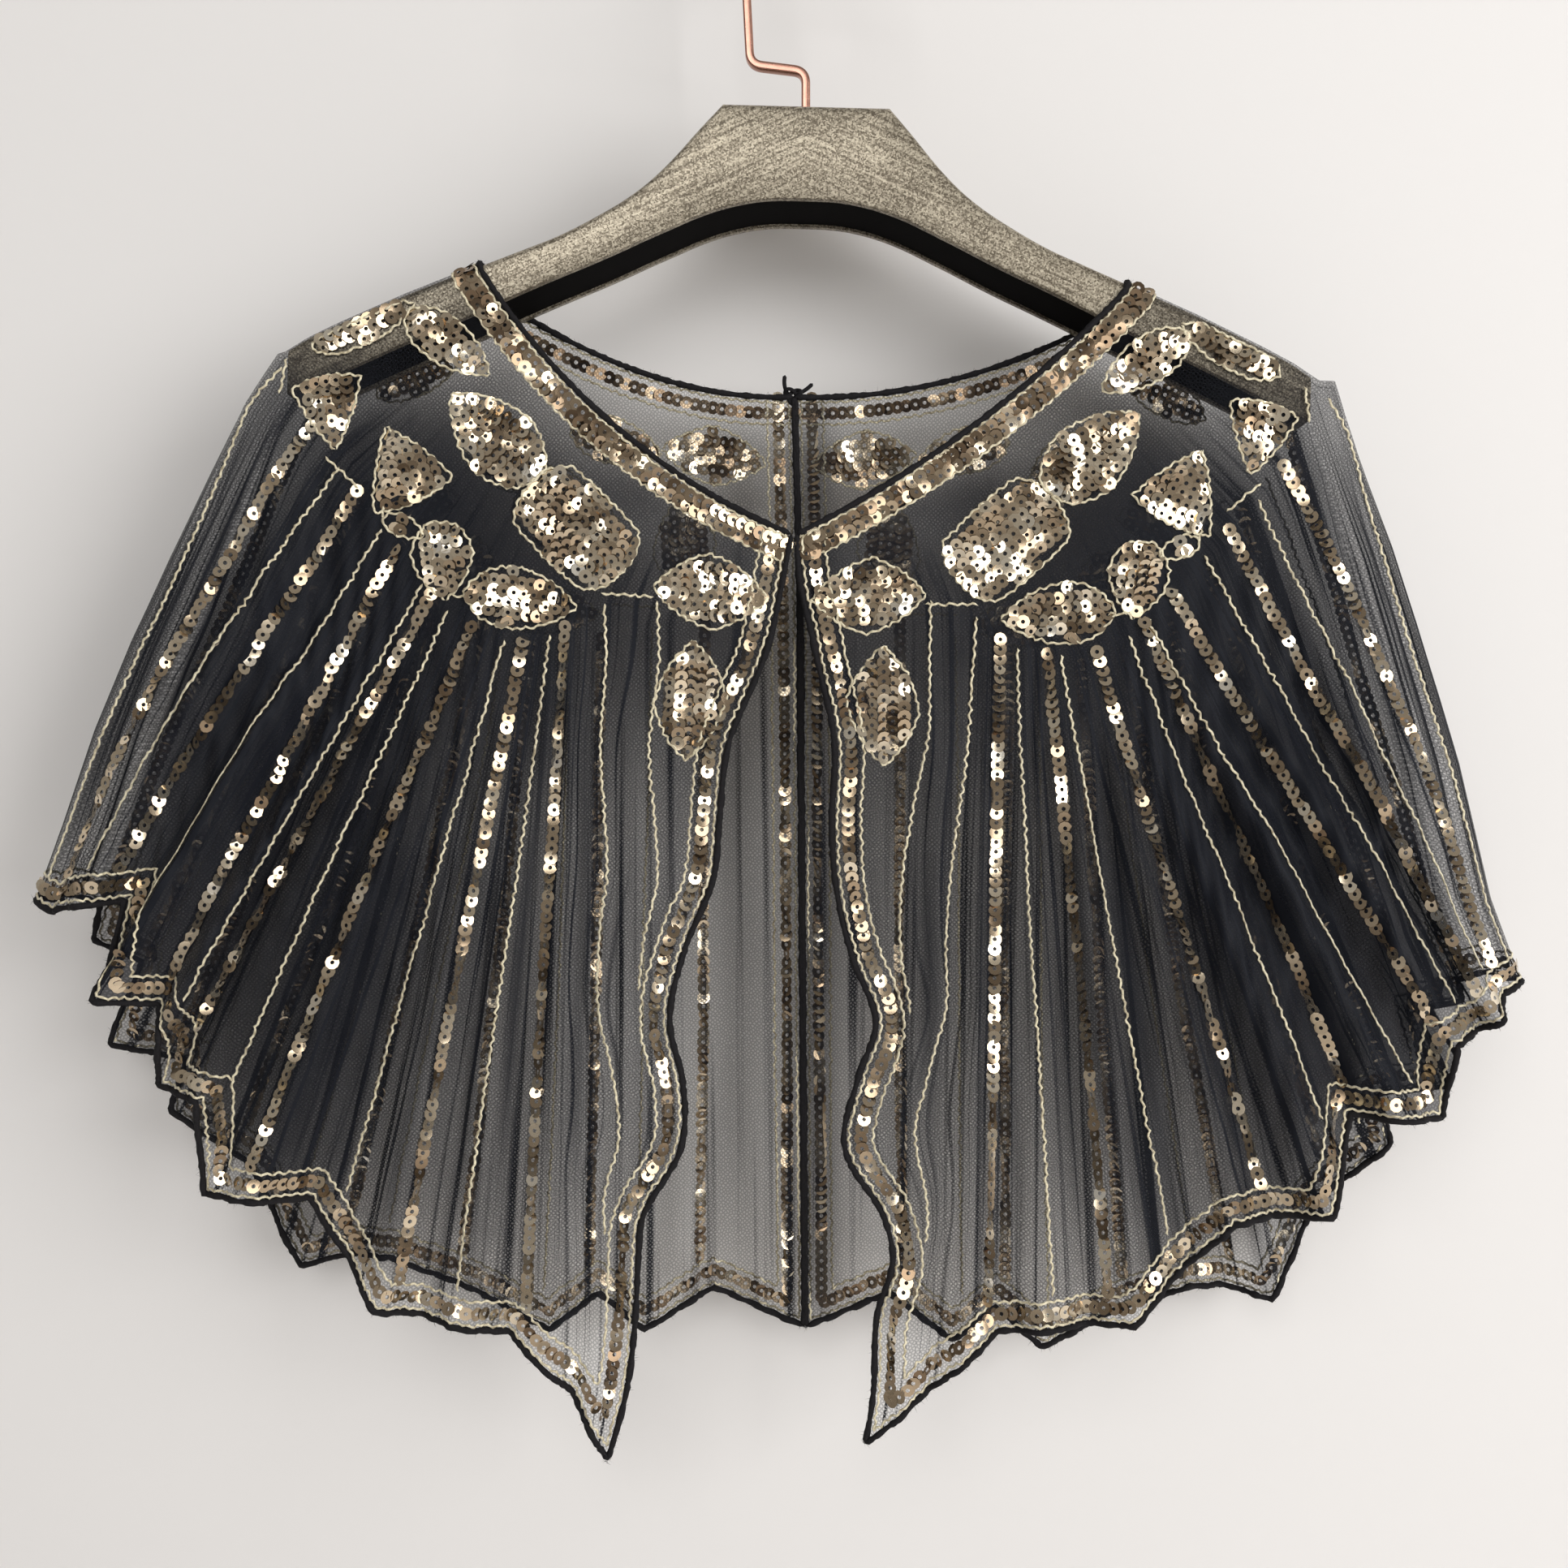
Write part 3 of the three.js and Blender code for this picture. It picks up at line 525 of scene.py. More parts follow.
# Even small ripples over all of the skirt: how far apart and how high they are.
RIPPLE_PITCH = 9.0
RIPPLE_HEIGHT = 0.7
RIPPLE_STRAY = 3
RIPPLE_SLANT = 4
RIPPLES_FREE = (-0.25, 0.25)
STEPS_PER_FRONT_RIB = 9
STEPS_PER_STRIP_ROW = 6
STEPS_PER_BACK_RIB = 10
YOKE_ROWS = 30
SKIRT_ROWS = 110
HANGS_FREE = (0.4, 1.3)
NET_CELL = 1.15
NET_UNEVEN = 0.6
NET_COVER = 0.19
MOST_BY_SLOPE = 2.2
LEAST_FLAT = 0.2
# Layers of net on the shoulder strip and its pleats: net seen edge-on, and painted shade over the hanger's
# arm.
STRIP_GATHER_AND_SHADE = 1.9
STRIP_PLEATS_AND_SHADE = 1.8
NET_COLOUR = (0.008, 0.009, 0.013, 1)

# Streaks: the finest creases, as long thin dark lines where the net is pressed together, partly painted
# shade along the folds.
STREAKS_PER_RIB = 4.6
STREAKS_DOWN = 0.6
STREAK_FROM = 0.54
STREAK_TO = 0.74
STREAK_COVER_AND_SHADE = 0.7

# Pleats: wider dark lines where the net is pressed together along the ribs and between them, partly painted
# shade in the folds.
PLEATS_PER_RIB = 2
PLEAT_WIDTH = (0.09, 0.24)
PLEAT_GATHER_AND_SHADE = 0.7
PLEAT_GATHER_AND_SHADE_BY_SIDE = 3.0
PLEAT_START = (0.0, 0.35)
PLEAT_END = (0.55, 1.15)
PLEAT_STRAY = 0.3
PLEAT_LEAN = 0.35
PLEAT_SWAY = 0.05
PLEAT_TURNS = (9, 7)
PLEAT_FADE = (0.1, 0.15)

# Where most net hangs together, which darkens it partly as net that lies double and partly as painted
# shade: over the yoke, on the front beside the throat, and in a broad band down the outer part of
# each panel, placed and sized as shares of its ribs. The band thins out at a rib, and again every
# few ribs. Pairs are where each comes in or fades out, from a first place to a last: tops and feet
# in runs, the rest in shares.
YOKE_GATHER_AND_SHADE = 3.0
YOKE_TOP = (0.15, 0.5)
YOKE_FOOT = (0.9, 1.3)
YOKE_MIDDLE = (0.05, 0.55)
YOKE_SIDE = (0.74, 0.95)
THROAT_GATHER_AND_SHADE = 3.8
THROAT_TOP = (0.05, 0.3)
THROAT_FOOT = (1.0, 1.3)
THROAT_SIDE = (0.2, 0.6)
BAND_GATHER_AND_SHADE = 4.4
BAND_TOP = (0.3, 1.1)
BAND_AT = 0.8
BAND_WIDTH = 0.26
BAND_UNEVEN = 0.62
BAND_UNEVEN_TOP = (0.9, 1.3)
BAND_THIN_RIB = {"wearers_right": 20.0, "wearers_left": 18.0}
BAND_THIN_EVERY = {"wearers_right": 7.5, "wearers_left": 12.5}


def mirrored_back(rows):
    """The back's ribs turned over for the other half, which hangs a little narrower and lower."""
    ribs = np.array(rows, float)
    share = np.minimum(1, np.abs(ribs[:, 2]) / FULL_DROP_OUT)
    ribs[:, 0] *= -1
    ribs[:, 1] -= RIGHT_BACK_YOKE_DROP * share
    ribs[:, 2] *= -RIGHT_BACK_NARROWER
    ribs[:, 3] -= RIGHT_BACK_HEM_DROP * share
    return ribs


def panel(facing, ribs, neck, bow, creases):
    """The front or the back of a half: which way it faces, its ribs, the corner and the bow of its
    neck, and its creases."""
    ribs, creases = columns_of(ribs, RIB_COLUMNS), columns_of(creases, CREASE_COLUMNS)
    last = len(ribs["out"]) - 1
    return SimpleNamespace(facing=facing, ribs=ribs, last=last, neck=neck, bow=bow, creases=creases)


def cape_half(front, back, **rest):
    """One half of the capelet. Places around it are counted in ribs: 0 at the front edge, then the
    front's ribs, the shoulder strip's rows and the back's ribs."""
    strip_end = front.last + len(SHOULDER_STRIP) - 1
    around = strip_end + back.last
    return SimpleNamespace(front=front, back=back, strip_end=strip_end, around=around, **rest)


LEFT = cape_half(
    name="wearers_right",
    sign=-1,
    edge="left",
    neck_out=117,
    side=np.array(LEFT_SIDE, float),
    front=panel(-1, LEFT_FRONT_RIBS, (-4.35, -236), (-75, -207), LEFT_FRONT_CREASES),
    back=panel(1, LEFT_BACK_RIBS, (-4.35, -179), (-57, -181), LEFT_BACK_CREASES),
)
RIGHT = cape_half(
    name="wearers_left",
    sign=1,
    edge="right",
    neck_out=115,
    side=np.array(RIGHT_SIDE, float),
    front=panel(-1, RIGHT_FRONT_RIBS, (-3.65, -236), (63, -203), RIGHT_FRONT_CREASES),
    back=panel(1, mirrored_back(LEFT_BACK_RIBS), (-3.65, -179), (56, -181), RIGHT_BACK_CREASES),
)
HALVES = (LEFT, RIGHT)
strip_table = columns_of(SHOULDER_STRIP, STRIP_COLUMNS)
edge_table = columns_of(FRONT_EDGE, FRONT_EDGE_COLUMNS)


def mix(a, b, share):
    """From a at a share of 0 to b at 1."""
    return a + (b - a) * share


def smoothstep(at, low, high):
    """0 up to low, 1 from high, and a cubic without corners between."""
    t = np.clip((at - low) / (high - low), 0, 1)
    return t * t * (3 - 2 * t)


def along_table(keys, values, at):
    """A table's values straight between its rows, and up to half a row past its end."""
    if keys[-1] < keys[0]:
        keys, at = -keys, -at
    i = np.clip(np.searchsorted(keys, at), 1, len(keys) - 1)
    share = np.clip((at - keys[i - 1]) / (keys[i] - keys[i - 1]), 0, 1.5)
    return mix(values[i - 1], values[i], share)


def crown_height(x):
    """The height of the cloth's crown over the tilted hanger arm."""
    shift = math.tan(HANGER_TILT)
    drop = along_table(hanger_table["out"], hanger_table["top"], np.abs(x + shift * ARM_MEAN_DROP))
    return HANGER_TOP - drop - shift * x + CLOTH_LIFT


def shoulder_guide(half, run):
    """A line along the arm for a run of 0 to 1, then down the side to the hem at 2, and the
    direction inwards from it."""
    arm_x = half.sign * mix(half.neck_out, SHOULDER_END, np.minimum(run, 1))
    arm_z = crown_height(arm_x)
    end_x = np.float64(half.sign * SHOULDER_END)
    end = np.array([end_x, crown_height(end_x)])
    side = np.vstack([end, half.side])
    side_z = mix(end[1], side[-1, 1], run - 1)
    side_x = along_table(side[:, 1], side[:, 0], side_z)
    turned = smoothstep(run, 1, SIDE_TURNED_BY)
    inward_x = -half.sign * mix(ARM_INWARD[0], SIDE_INWARD[0], turned)
    inward_z = mix(ARM_INWARD[1], SIDE_INWARD[1], turned)
    on_arm = run <= 1
    return np.where(on_arm, arm_x, side_x), np.where(on_arm, arm_z, side_z), inward_x, inward_z


def half_depth(run):
    """How far the front and the back hang from the middle: more from the shoulder to the hem."""
    return CLOTH_HALF_DEPTH + CLOTH_SPREAD * smoothstep(run, 1, 2)


def strip_point(half, place, run):
    """The shoulder strip: its guide, moved inwards by the amounts of its rows."""
    row = np.arange(len(SHOULDER_STRIP))
    across, on_arm, below = (np.interp(place, row, strip_table[c]) for c in STRIP_COLUMNS)
    inside = mix(on_arm, below, smoothstep(run, 1, SIDE_ROUND_BY))
    x, z, inward_x, inward_z = shoulder_guide(half, run)
    return places(x + inward_x * inside, across * half_depth(run), z + inward_z * inside)


def rib_point(half, side, place, run):
    """Straight from the neck's curve to the yoke line at a run of 1, then straight to the hem at 2,
    with how far the fold stands out there, which swells and sinks as a cosine between ribs."""
    row = np.arange(side.last + 1)
    yoke_x, yoke_z, hem_x, hem_z = (np.interp(place, row, side.ribs[c]) for c in RIB_COLUMNS[:4])
    whole = np.floor(place)
    eased = whole + (1 - np.cos(np.pi * (place - whole))) / 2
    out = np.interp(eased, row, side.ribs["out"])
    first, last = side.ribs["yoke_x"][0], side.ribs["yoke_x"][-1]
    share = (yoke_x - first) / (last - first)
    end_x, _, end_z = strip_point(half, 0.0, np.float64(0)).T
    first, middle, last = (1 - share) ** 2, 2 * share * (1 - share), share**2
    neck_x = first * side.neck[0] + middle * side.bow[0] + last * end_x
    neck_z = first * side.neck[1] + middle * side.bow[1] + last * end_z
    upper, lower = np.minimum(run, 1), np.maximum(run - 1, 0)
    x = mix(mix(neck_x, yoke_x, upper), hem_x, lower)
    z = mix(mix(neck_z, yoke_z, upper), hem_z, lower)
    return x, z, out


def crease_heights(side, x, z):
    """How far the creases stand out, and how much net each draws together, which also stands for
    painted shade in the crease: round-topped ridges about straight lines, which fade towards both ends."""
    lift, gather_and_shade = np.zeros_like(x), np.zeros_like(x)
    for top_x, top_z, foot_x, foot_z, width, height, more in zip(*side.creases.values()):
        dx, dz = foot_x - top_x, foot_z - top_z
        length = math.hypot(dx, dz)
        down = ((x - top_x) * dx + (z - top_z) * dz) / length**2
        off = ((x - top_x) * dz - (z - top_z) * dx) / length
        off = off + CREASE_BEND * width * np.sin(down * CREASE_SWAY + top_x)
        shape = np.exp(-((off / width) ** 2))
        for end in (down, 1 - down):
            shape = shape * smoothstep(end, -CREASE_ENDS, CREASE_ENDS)
        lift += height * shape
        gather_and_shade += CREASE_GATHER_AND_SHADE * more * shape
    return lift, gather_and_shade


def panel_plan(half, side, place, run):
    """A point's place in the front or back view: its rib, pulled at one edge to the wavy front edge
    or the back seam, and at the other to the shoulder strip."""
    x, z, out = rib_point(half, side, place, run)
    middle_x, middle_z, _ = rib_point(half, side, np.zeros_like(place), run)
    side_x, side_z, _ = rib_point(half, side, np.full_like(place, side.last), run)
    corner = strip_point(half, np.zeros_like(place), run)
    if side.facing < 0:
        edge_x = smooth_between(-edge_table["z"], edge_table[half.edge], -middle_z)
    else:
        edge_x = mix(side.neck[0], half.sign * SEAM_HALF_GAP, run / 2)
    middle_pull = np.maximum(0, 1 - place / EDGE_WAVE_REACH) ** 2
    side_pull = np.maximum(0, 1 - (side.last - place) / SIDE_REACH) ** 2
    x = x + middle_pull * (edge_x - middle_x) + side_pull * (corner[..., 0] - side_x)
    z = z + side_pull * (corner[..., 2] - side_z)
    return x, z, out


def panel_point(half, side, place, run):
    """A point of the front or the back: its place in the view, standing out by its fold, its creases
    and its ripples."""
    x, z, out = panel_plan(half, side, place, run)
    lift, _ = crease_heights(side, x, z)
    down = run - 1
    stray = RIPPLE_STRAY * np.sin(place + RIPPLE_SLANT * down)
    ripple = RIPPLE_HEIGHT * np.sin(2 * np.pi * x / RIPPLE_PITCH + stray)
    free = smoothstep(down, *RIPPLES_FREE)
    hold = 1 - np.maximum(0, 1 - (side.last - place) / 2) ** 2
    folds = out * smoothstep(down, FOLDS_START, FOLDS_FULL)
    y = half_depth(run) + folds + (lift + ripple) * free * hold
    return places(x, side.facing * y, z)


def cloth(half, around, run):
    """A point of a half's net at a place around it and a run down it."""
    around, run = np.broadcast_arrays(np.asarray(around, float), np.asarray(run, float))
    front = panel_point(half, half.front, np.clip(around, 0, half.front.last), run)
    strip = strip_point(half, np.clip(around - half.front.last, 0, len(SHOULDER_STRIP) - 1), run)
    back = panel_point(half, half.back, np.clip(half.around - around, 0, half.back.last), run)
    on_front = (around <= half.front.last)[..., None]
    on_back = (around >= half.strip_end)[..., None]
    return np.where(on_front, front, np.where(on_back, back, strip))


def fine_net():
    """A mesh of round-cornered holes between black threads. Where folds draw the net together, more of
    its threads lie behind each other and it lets less light through: its opacity is its cover, plus the
    creases where it hangs free, plus the threads' pattern times what the cover leaves open. The extra
    cover in creases, pleats, streaks and bands is partly painted shade."""
    material, tree = new_material("net")
    weave = add(tree, "UVMap", "UV", uv_map="weave")
    cells = {"Vector": weave, "Scale": 1 / NET_CELL, "Randomness": NET_UNEVEN}
    flat = {"voronoi_dimensions": "2D", "feature": "DISTANCE_TO_EDGE"}
    edges = add(tree, "TexVoronoi", "Distance", cells, **flat)
    spread = {"From Min": 0.08, "From Max": 0.40, "To Min": 0.27, "To Max": -0.40}
    threads = add(tree, "MapRange", "Result", {"Value": edges, **spread})
    cover = add(tree, "Attribute", "Fac", attribute_name="cover")
    folds = add(tree, "UVMap", "UV", uv_map="folds")
    long = add(tree, "Mapping", "Vector", {"Vector": folds, "Scale": (STREAKS_PER_RIB, STREAKS_DOWN, 1)})
    fine = {"Vector": long, "Scale": 1, "Detail": 2.5, "Roughness": 0.6}
    streaks = add(tree, "TexNoise", "Fac", fine, noise_dimensions="2D")
    spread = {"From Min": STREAK_FROM, "From Max": STREAK_TO, "To Max": STREAK_COVER_AND_SHADE}
    pressed_and_shaded = add(tree, "MapRange", "Result", {"Value": streaks, **spread})
    hanging = add(tree, "Attribute", "Fac", attribute_name="hanging")
    creased_and_shaded = add(tree, "Math", "Value", {0: pressed_and_shaded, 1: hanging, 2: cover}, operation="MULTIPLY_ADD")
    left_open = add(tree, "Math", "Value", {0: 1, 1: cover}, operation="SUBTRACT")
    parts = {0: threads, 1: left_open, 2: creased_and_shaded}
    opacity = add(tree, "Math", "Value", parts, operation="MULTIPLY_ADD", use_clamp=True)
    looks = {"Base Color": NET_COLOUR, "Roughness": 0.6, "Specular IOR Level": 0.12, "Alpha": opacity}
    return finish(material, looks)


def pleats(side, place, run, rng):
    """How much net the pleats draw together, partly painted shade in the folds: narrow bell curves
    about lines straight in ribs, each from its own start to its own end down the skirt."""
    gather_and_shade = np.zeros_like(place)
    for middle in np.arange(0.5 / PLEATS_PER_RIB, side.last, 1 / PLEATS_PER_RIB):
        middle = middle + rng.uniform(-PLEAT_STRAY, PLEAT_STRAY)
        fullness = mix(PLEAT_GATHER_AND_SHADE, PLEAT_GATHER_AND_SHADE_BY_SIDE, middle / side.last)
        width, most = rng.uniform(*PLEAT_WIDTH), fullness * rng.exponential()
        start, end = rng.uniform(*PLEAT_START), rng.uniform(*PLEAT_END)
        lean = rng.uniform(-PLEAT_LEAN, PLEAT_LEAN) * (run - 1)
        sway = PLEAT_SWAY * np.sin(PLEAT_TURNS[0] * run + PLEAT_TURNS[1] * middle)
        drift = middle + lean + sway
        down = smoothstep(run - 1, start - PLEAT_FADE[0], start + PLEAT_FADE[1])
        down = down * smoothstep(1 - run, -end - PLEAT_FADE[0], PLEAT_FADE[1] - end)
        gather_and_shade += most * np.exp(-(((place - drift) / width) ** 2)) * down
    return gather_and_shade


def bunched_and_shaded(half, side, place, run):
    """How much more net hangs over the yoke and in the band down the outer part of a panel, partly
    painted shade: a bell curve across the ribs, times a cosine."""
    share = place / side.last
    band = np.exp(-(((share - BAND_AT) / BAND_WIDTH) ** 2)) * smoothstep(run, *BAND_TOP)
    thin = np.cos(2 * np.pi * (place - BAND_THIN_RIB[half.name]) / BAND_THIN_EVERY[half.name])
    band = band * (1 - BAND_UNEVEN * thin * smoothstep(run, *BAND_UNEVEN_TOP))
    below_arm = smoothstep(run, *YOKE_TOP) * (1 - smoothstep(run, *YOKE_FOOT))
    yoke = smoothstep(share, *YOKE_MIDDLE) * (1 - smoothstep(share, *YOKE_SIDE)) * below_arm
    return BAND_GATHER_AND_SHADE * band + YOKE_GATHER_AND_SHADE * yoke


def throat_gather_and_shade(half, around, run):
    """How much more net hangs on the front beside the throat, partly painted shade, from just below the
    neck to the yoke line, thinning out towards the shoulder."""
    beside = 1 - smoothstep(around / half.front.last, *THROAT_SIDE)
    down = smoothstep(run, *THROAT_TOP) * (1 - smoothstep(run, *THROAT_FOOT))
    return THROAT_GATHER_AND_SHADE * beside * down


def net_cover(half, around, points, run, rng):
    """The share of light that the net stops: 1 - (1 - cover) ** layers, where the layers grow with
    the slope of the folds' flanks and with the net drawn together in a crease or a pleat, over the
    yoke, by the throat, in the band and on the strip: partly net that lies double, partly painted shade."""
    across = np.gradient(points, axis=0)
    flat = np.maximum(np.hypot(across[..., 0], across[..., 2]), LEAST_FLAT)
    slope = np.abs(across[..., 1]) / flat
    layers = np.minimum(np.sqrt(1 + slope**2), MOST_BY_SLOPE)
    on_front = around <= half.front.last
    on_back = around >= half.strip_end
    _, front = crease_heights(half.front, points[..., 0], points[..., 2])
    _, back = crease_heights(half.back, points[..., 0], points[..., 2])
    from_seam = half.around - around
    front = front + pleats(half.front, around, run, rng) + bunched_and_shaded(half, half.front, around, run)
    front = front + throat_gather_and_shade(half, around, run)
    back = back + pleats(half.back, from_seam, run, rng) + bunched_and_shaded(half, half.back, from_seam, run)
    gathered_and_shaded = np.where(on_front, front, np.where(on_back, back, 0))
    on_strip = ~(on_front | on_back)
    strip = SimpleNamespace(last=len(SHOULDER_STRIP) - 1)
    on_side = STRIP_GATHER_AND_SHADE + STRIP_PLEATS_AND_SHADE * pleats(strip, around - half.front.last, run, rng)
    layers = np.where(on_strip, on_side, layers + gathered_and_shaded)
    return 1 - (1 - NET_COVER) ** layers


def add_values(mesh, name, values):
    """A number for each point of a mesh."""
    mesh.attributes.new(name, "FLOAT", "POINT").data.foreach_set("value", values.ravel())


def net_mesh(half, material, rng):
    """One half's net as a sheet. One map is in millimetres, level round the half and straight down,
    turned so that the mesh lies on the bias. The other is in ribs and runs."""
    strip_rows = len(SHOULDER_STRIP) - 1
    steps = (
        np.arange(half.front.last * STEPS_PER_FRONT_RIB) / STEPS_PER_FRONT_RIB,
        half.front.last + np.arange(strip_rows * STEPS_PER_STRIP_ROW) / STEPS_PER_STRIP_ROW,
        half.strip_end + np.arange(half.back.last * STEPS_PER_BACK_RIB + 1) / STEPS_PER_BACK_RIB,
    )
    around = np.concatenate(steps)
    above = np.linspace(0, 1, YOKE_ROWS, endpoint=False)
    runs = np.concatenate([above, np.linspace(1, 2, SKIRT_ROWS + 1)])
    u, v = np.meshgrid(around, runs, indexing="ij")
    points = cloth(half, u, v)
    faces = grid_faces(*u.shape)
    if half.sign > 0:
        faces = faces[:, ::-1]
    piece = mesh_piece(f"net_{half.name}_half", points, faces.tolist(), material)
    mesh = piece.data
    add_values(mesh, "cover", net_cover(half, u, points, v, rng))
    add_values(mesh, "hanging", smoothstep(v, *HANGS_FREE))
    out, depth = np.abs(points[..., 0]), half_depth(v)
    on_strip = (u > half.front.last) & (u < half.strip_end)
    corner_out = out[np.searchsorted(around, half.front.last)]
    unrolled = np.where(u < half.strip_end, out, -out)
    unrolled = np.where(on_strip, corner_out + points[..., 1] + depth, unrolled)
    on_bias = places(unrolled + points[..., 2], unrolled - points[..., 2]) / math.sqrt(2)
    add_map(mesh, "weave", on_bias)
    add_map(mesh, "folds", places(u, v))
    return piece


def on_both(make, material, seed):
    """One piece on each half, by the half's name, each with random draws of its own."""
    return {half.name: make(half, material, np.random.default_rng(seed + half.sign)) for half in HALVES}


nets = on_both(net_mesh, fine_net(), seed=7)
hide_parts("cape_half_wearers_right")
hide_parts("cape_half_wearers_left")

# Merrowed edging
# Every edge of both halves is bound with fine overlocked thread, black and fuzzy, sewn in one run
# round the half.
EDGING_RADIUS = 1.2
EDGING_STEP = 1.5
EDGING_SIDES = 6
EDGING_UNEVEN = (0.75, 1.2)
TUBE_END = 0.05
EDGING_DARK = (0.006, 0.0055, 0.006, 1)
EDGING_LIGHT = tuple(3.5 * c for c in EDGING_DARK[:3]) + (1,)
EDGING_LOOKS = {"Roughness": 0.85, "Specular IOR Level": 0.15}
FUZZ_PER_MM = 4.5
FUZZ_LENGTH = (1.2, 3.0)
FUZZ_WIDTH = 0.18
FUZZ_LEAN = 0.6
FUZZ_STRAY = 0.3
FINE = 1e-3
TINY = 1e-9
ROUND_STEPS = 900
DOWN_STEPS = 400


def slopes(surface, u, v, last_u):
    """A surface's points at u and v, and its slopes along both by fine steps that stay on it."""
    here = surface(u, v)
    step_u = np.where(u > last_u - 2 * FINE, -FINE, FINE)
    step_v = np.where(v > 2 - 2 * FINE, -FINE, FINE)
    along_u = (surface(u + step_u, v) - here) / step_u[..., None]
    along_v = (surface(u, v + step_v) - here) / step_v[..., None]
    return here, along_u, along_v


def on_surface(half, around, run):
    """Points of the net with its outward normal there, from the cross product of its slopes."""
    here, along_u, along_v = slopes(lambda u, v: cloth(half, u, v), around, run, half.around)
    return here, unit(-half.sign * np.cross(along_u, along_v))


def lengths(points):
    """How long a line is from its first point to each of its points."""
    steps = np.linalg.norm(np.diff(points, axis=0), axis=1)
    return np.concatenate([[0], np.cumsum(steps)])


def paced(half, path, pitch):
    """Places at an even pitch along a path, measured on the net's surface."""
    length = lengths(cloth(half, *path))
    count = max(2, int(round(length[-1] / pitch)) + 1)
    at = np.linspace(0, length[-1], count)
    return np.interp(at, length, path[0]), np.interp(at, length, path[1])


def path_frames(half, path):
    """A path's points with the directions along it, across it in the net, and outwards."""
    points, normal = on_surface(half, *path)
    along = unit(np.gradient(points, axis=0) + TINY)
    across = unit(np.cross(normal, along))
    return points, along, across, normal


def tubes(threads, sides, flatness=1.0):
    """Closed tubes along threads: each thread has its line, the directions across it and up from
    it, and its radii. Its rings are circles in the plane of the two directions, drawn in to a point
    at both ends."""
    turn = 2 * np.pi * (np.arange(sides) + 0.5) / sides
    cos, sin = np.cos(turn)[None, :, None], np.sin(turn)[None, :, None]
    points, faces, start = [], [], 0
    for line, side, top, radii in threads:
        r = radii.copy()
        r[[0, -1]] *= TUBE_END
        ring = side[:, None] * cos + top[:, None] * sin * flatness
        points.append((line[:, None] + ring * r[:, None, None]).reshape(-1, 3))
        faces.append(grid_faces(len(line), sides, closed=True) + start)
        start += len(line) * sides
    return np.concatenate(points), np.concatenate(faces)


def edge_paths(half):
    """The four edges of a half: neck, front edge, hem and back seam."""
    round_it = np.linspace(0, half.around, ROUND_STEPS)
    down = np.linspace(0, 2, DOWN_STEPS)
    return [
        (round_it, np.zeros_like(round_it)),
        (np.zeros_like(down), down),
        (round_it, np.full_like(round_it, 2.0)),
        (np.full_like(down, half.around), down),
    ]


def fuzz(rng, points, across, normal, count):
    """Loose fibres along a line: thin triangles that stand off it every way but along it."""
    at = rng.integers(0, len(points), count)
    turn = rng.uniform(0, 2 * np.pi, count)
    lean = rng.normal(0, FUZZ_LEAN, (count, 3))
    away = unit(across[at] * np.cos(turn)[:, None] + normal[at] * np.sin(turn)[:, None] + lean)
    side = unit(np.cross(away, rng.normal(0, 1, (count, 3))))
    length = rng.uniform(*FUZZ_LENGTH, count)[:, None]
    foot = points[at] + rng.normal(0, FUZZ_STRAY, (count, 3))
    wide = side * FUZZ_WIDTH / 2
    return np.stack([foot - wide, foot + wide, foot + away * length], axis=1)


def sewing_thread(name, dark, light, relief, fibres, looks):
    """Thread whose fibres run from dark to light with a fine noise, and stand out by a relief. Dark
    and light are each a place on the noise, from 0 to 1, and a colour."""
    material, tree = new_material(name)
    noise = add_noise(tree, **fibres)
    normal = add_relief(tree, noise, relief)
    return finish(material, {"Base Color": add_ramp(tree, noise, dark, light), "Normal": normal, **looks})


def edging_mesh(half, material, rng):
    """A tube round each edge, a little thicker and thinner as it goes, with its loose fibres."""
    threads, hairs = [], []
    for path in edge_paths(half):
        points, _, across, normal = path_frames(half, paced(half, path, EDGING_STEP))
        radii = EDGING_RADIUS * rng.uniform(*EDGING_UNEVEN, len(points))
        threads.append((points, across, normal, radii))
        count = int(len(points) * EDGING_STEP * FUZZ_PER_MM)
        hairs.append(fuzz(rng, points, across, normal, count))
    points, faces = tubes(threads, EDGING_SIDES)
    fibres = np.concatenate(hairs).reshape(-1, 3)
    fibre_faces = np.arange(len(fibres)).reshape(-1, 3) + len(points)
    faces = faces.tolist() + fibre_faces.tolist()
    return mesh_piece(f"edging_{half.name}_half", np.vstack([points, fibres]), faces, material)


black_ends = (0, EDGING_DARK), (1, EDGING_LIGHT)
thread_black = sewing_thread("edging_thread", *black_ends, 0.6, {"Scale": 1500}, EDGING_LOOKS)
edgings = on_both(edging_mesh, thread_black, seed=11)

# Neck knot
# The edging's thread is knotted where the back seam meets the neck, and its cut ends stand up.
KNOT_AT = (-4.6, 19.6, -178.2)
KNOT_SIZE = 1.1
KNOT_THREAD = 0.8
KNOT_STEPS = 60
KNOT_SQUARE_TO = (0.3, 1, 0.2)
KNOT_ENDS = (((-1.5, 0.5, 0), (-4, 1.5, 3.5), (-3, 1, 8)), ((1, 0, 0.5), (4.5, 1, 1.5), (7.5, -0.5, 4.5)))


def loose_thread(line):
    """A thread of the knot, with directions across it and square to both."""
    line = line + KNOT_AT
    along = unit(np.gradient(line, axis=0))
    across = unit(np.cross(along, KNOT_SQUARE_TO))
    return line, across, np.cross(along, across), np.full(len(line), KNOT_THREAD)


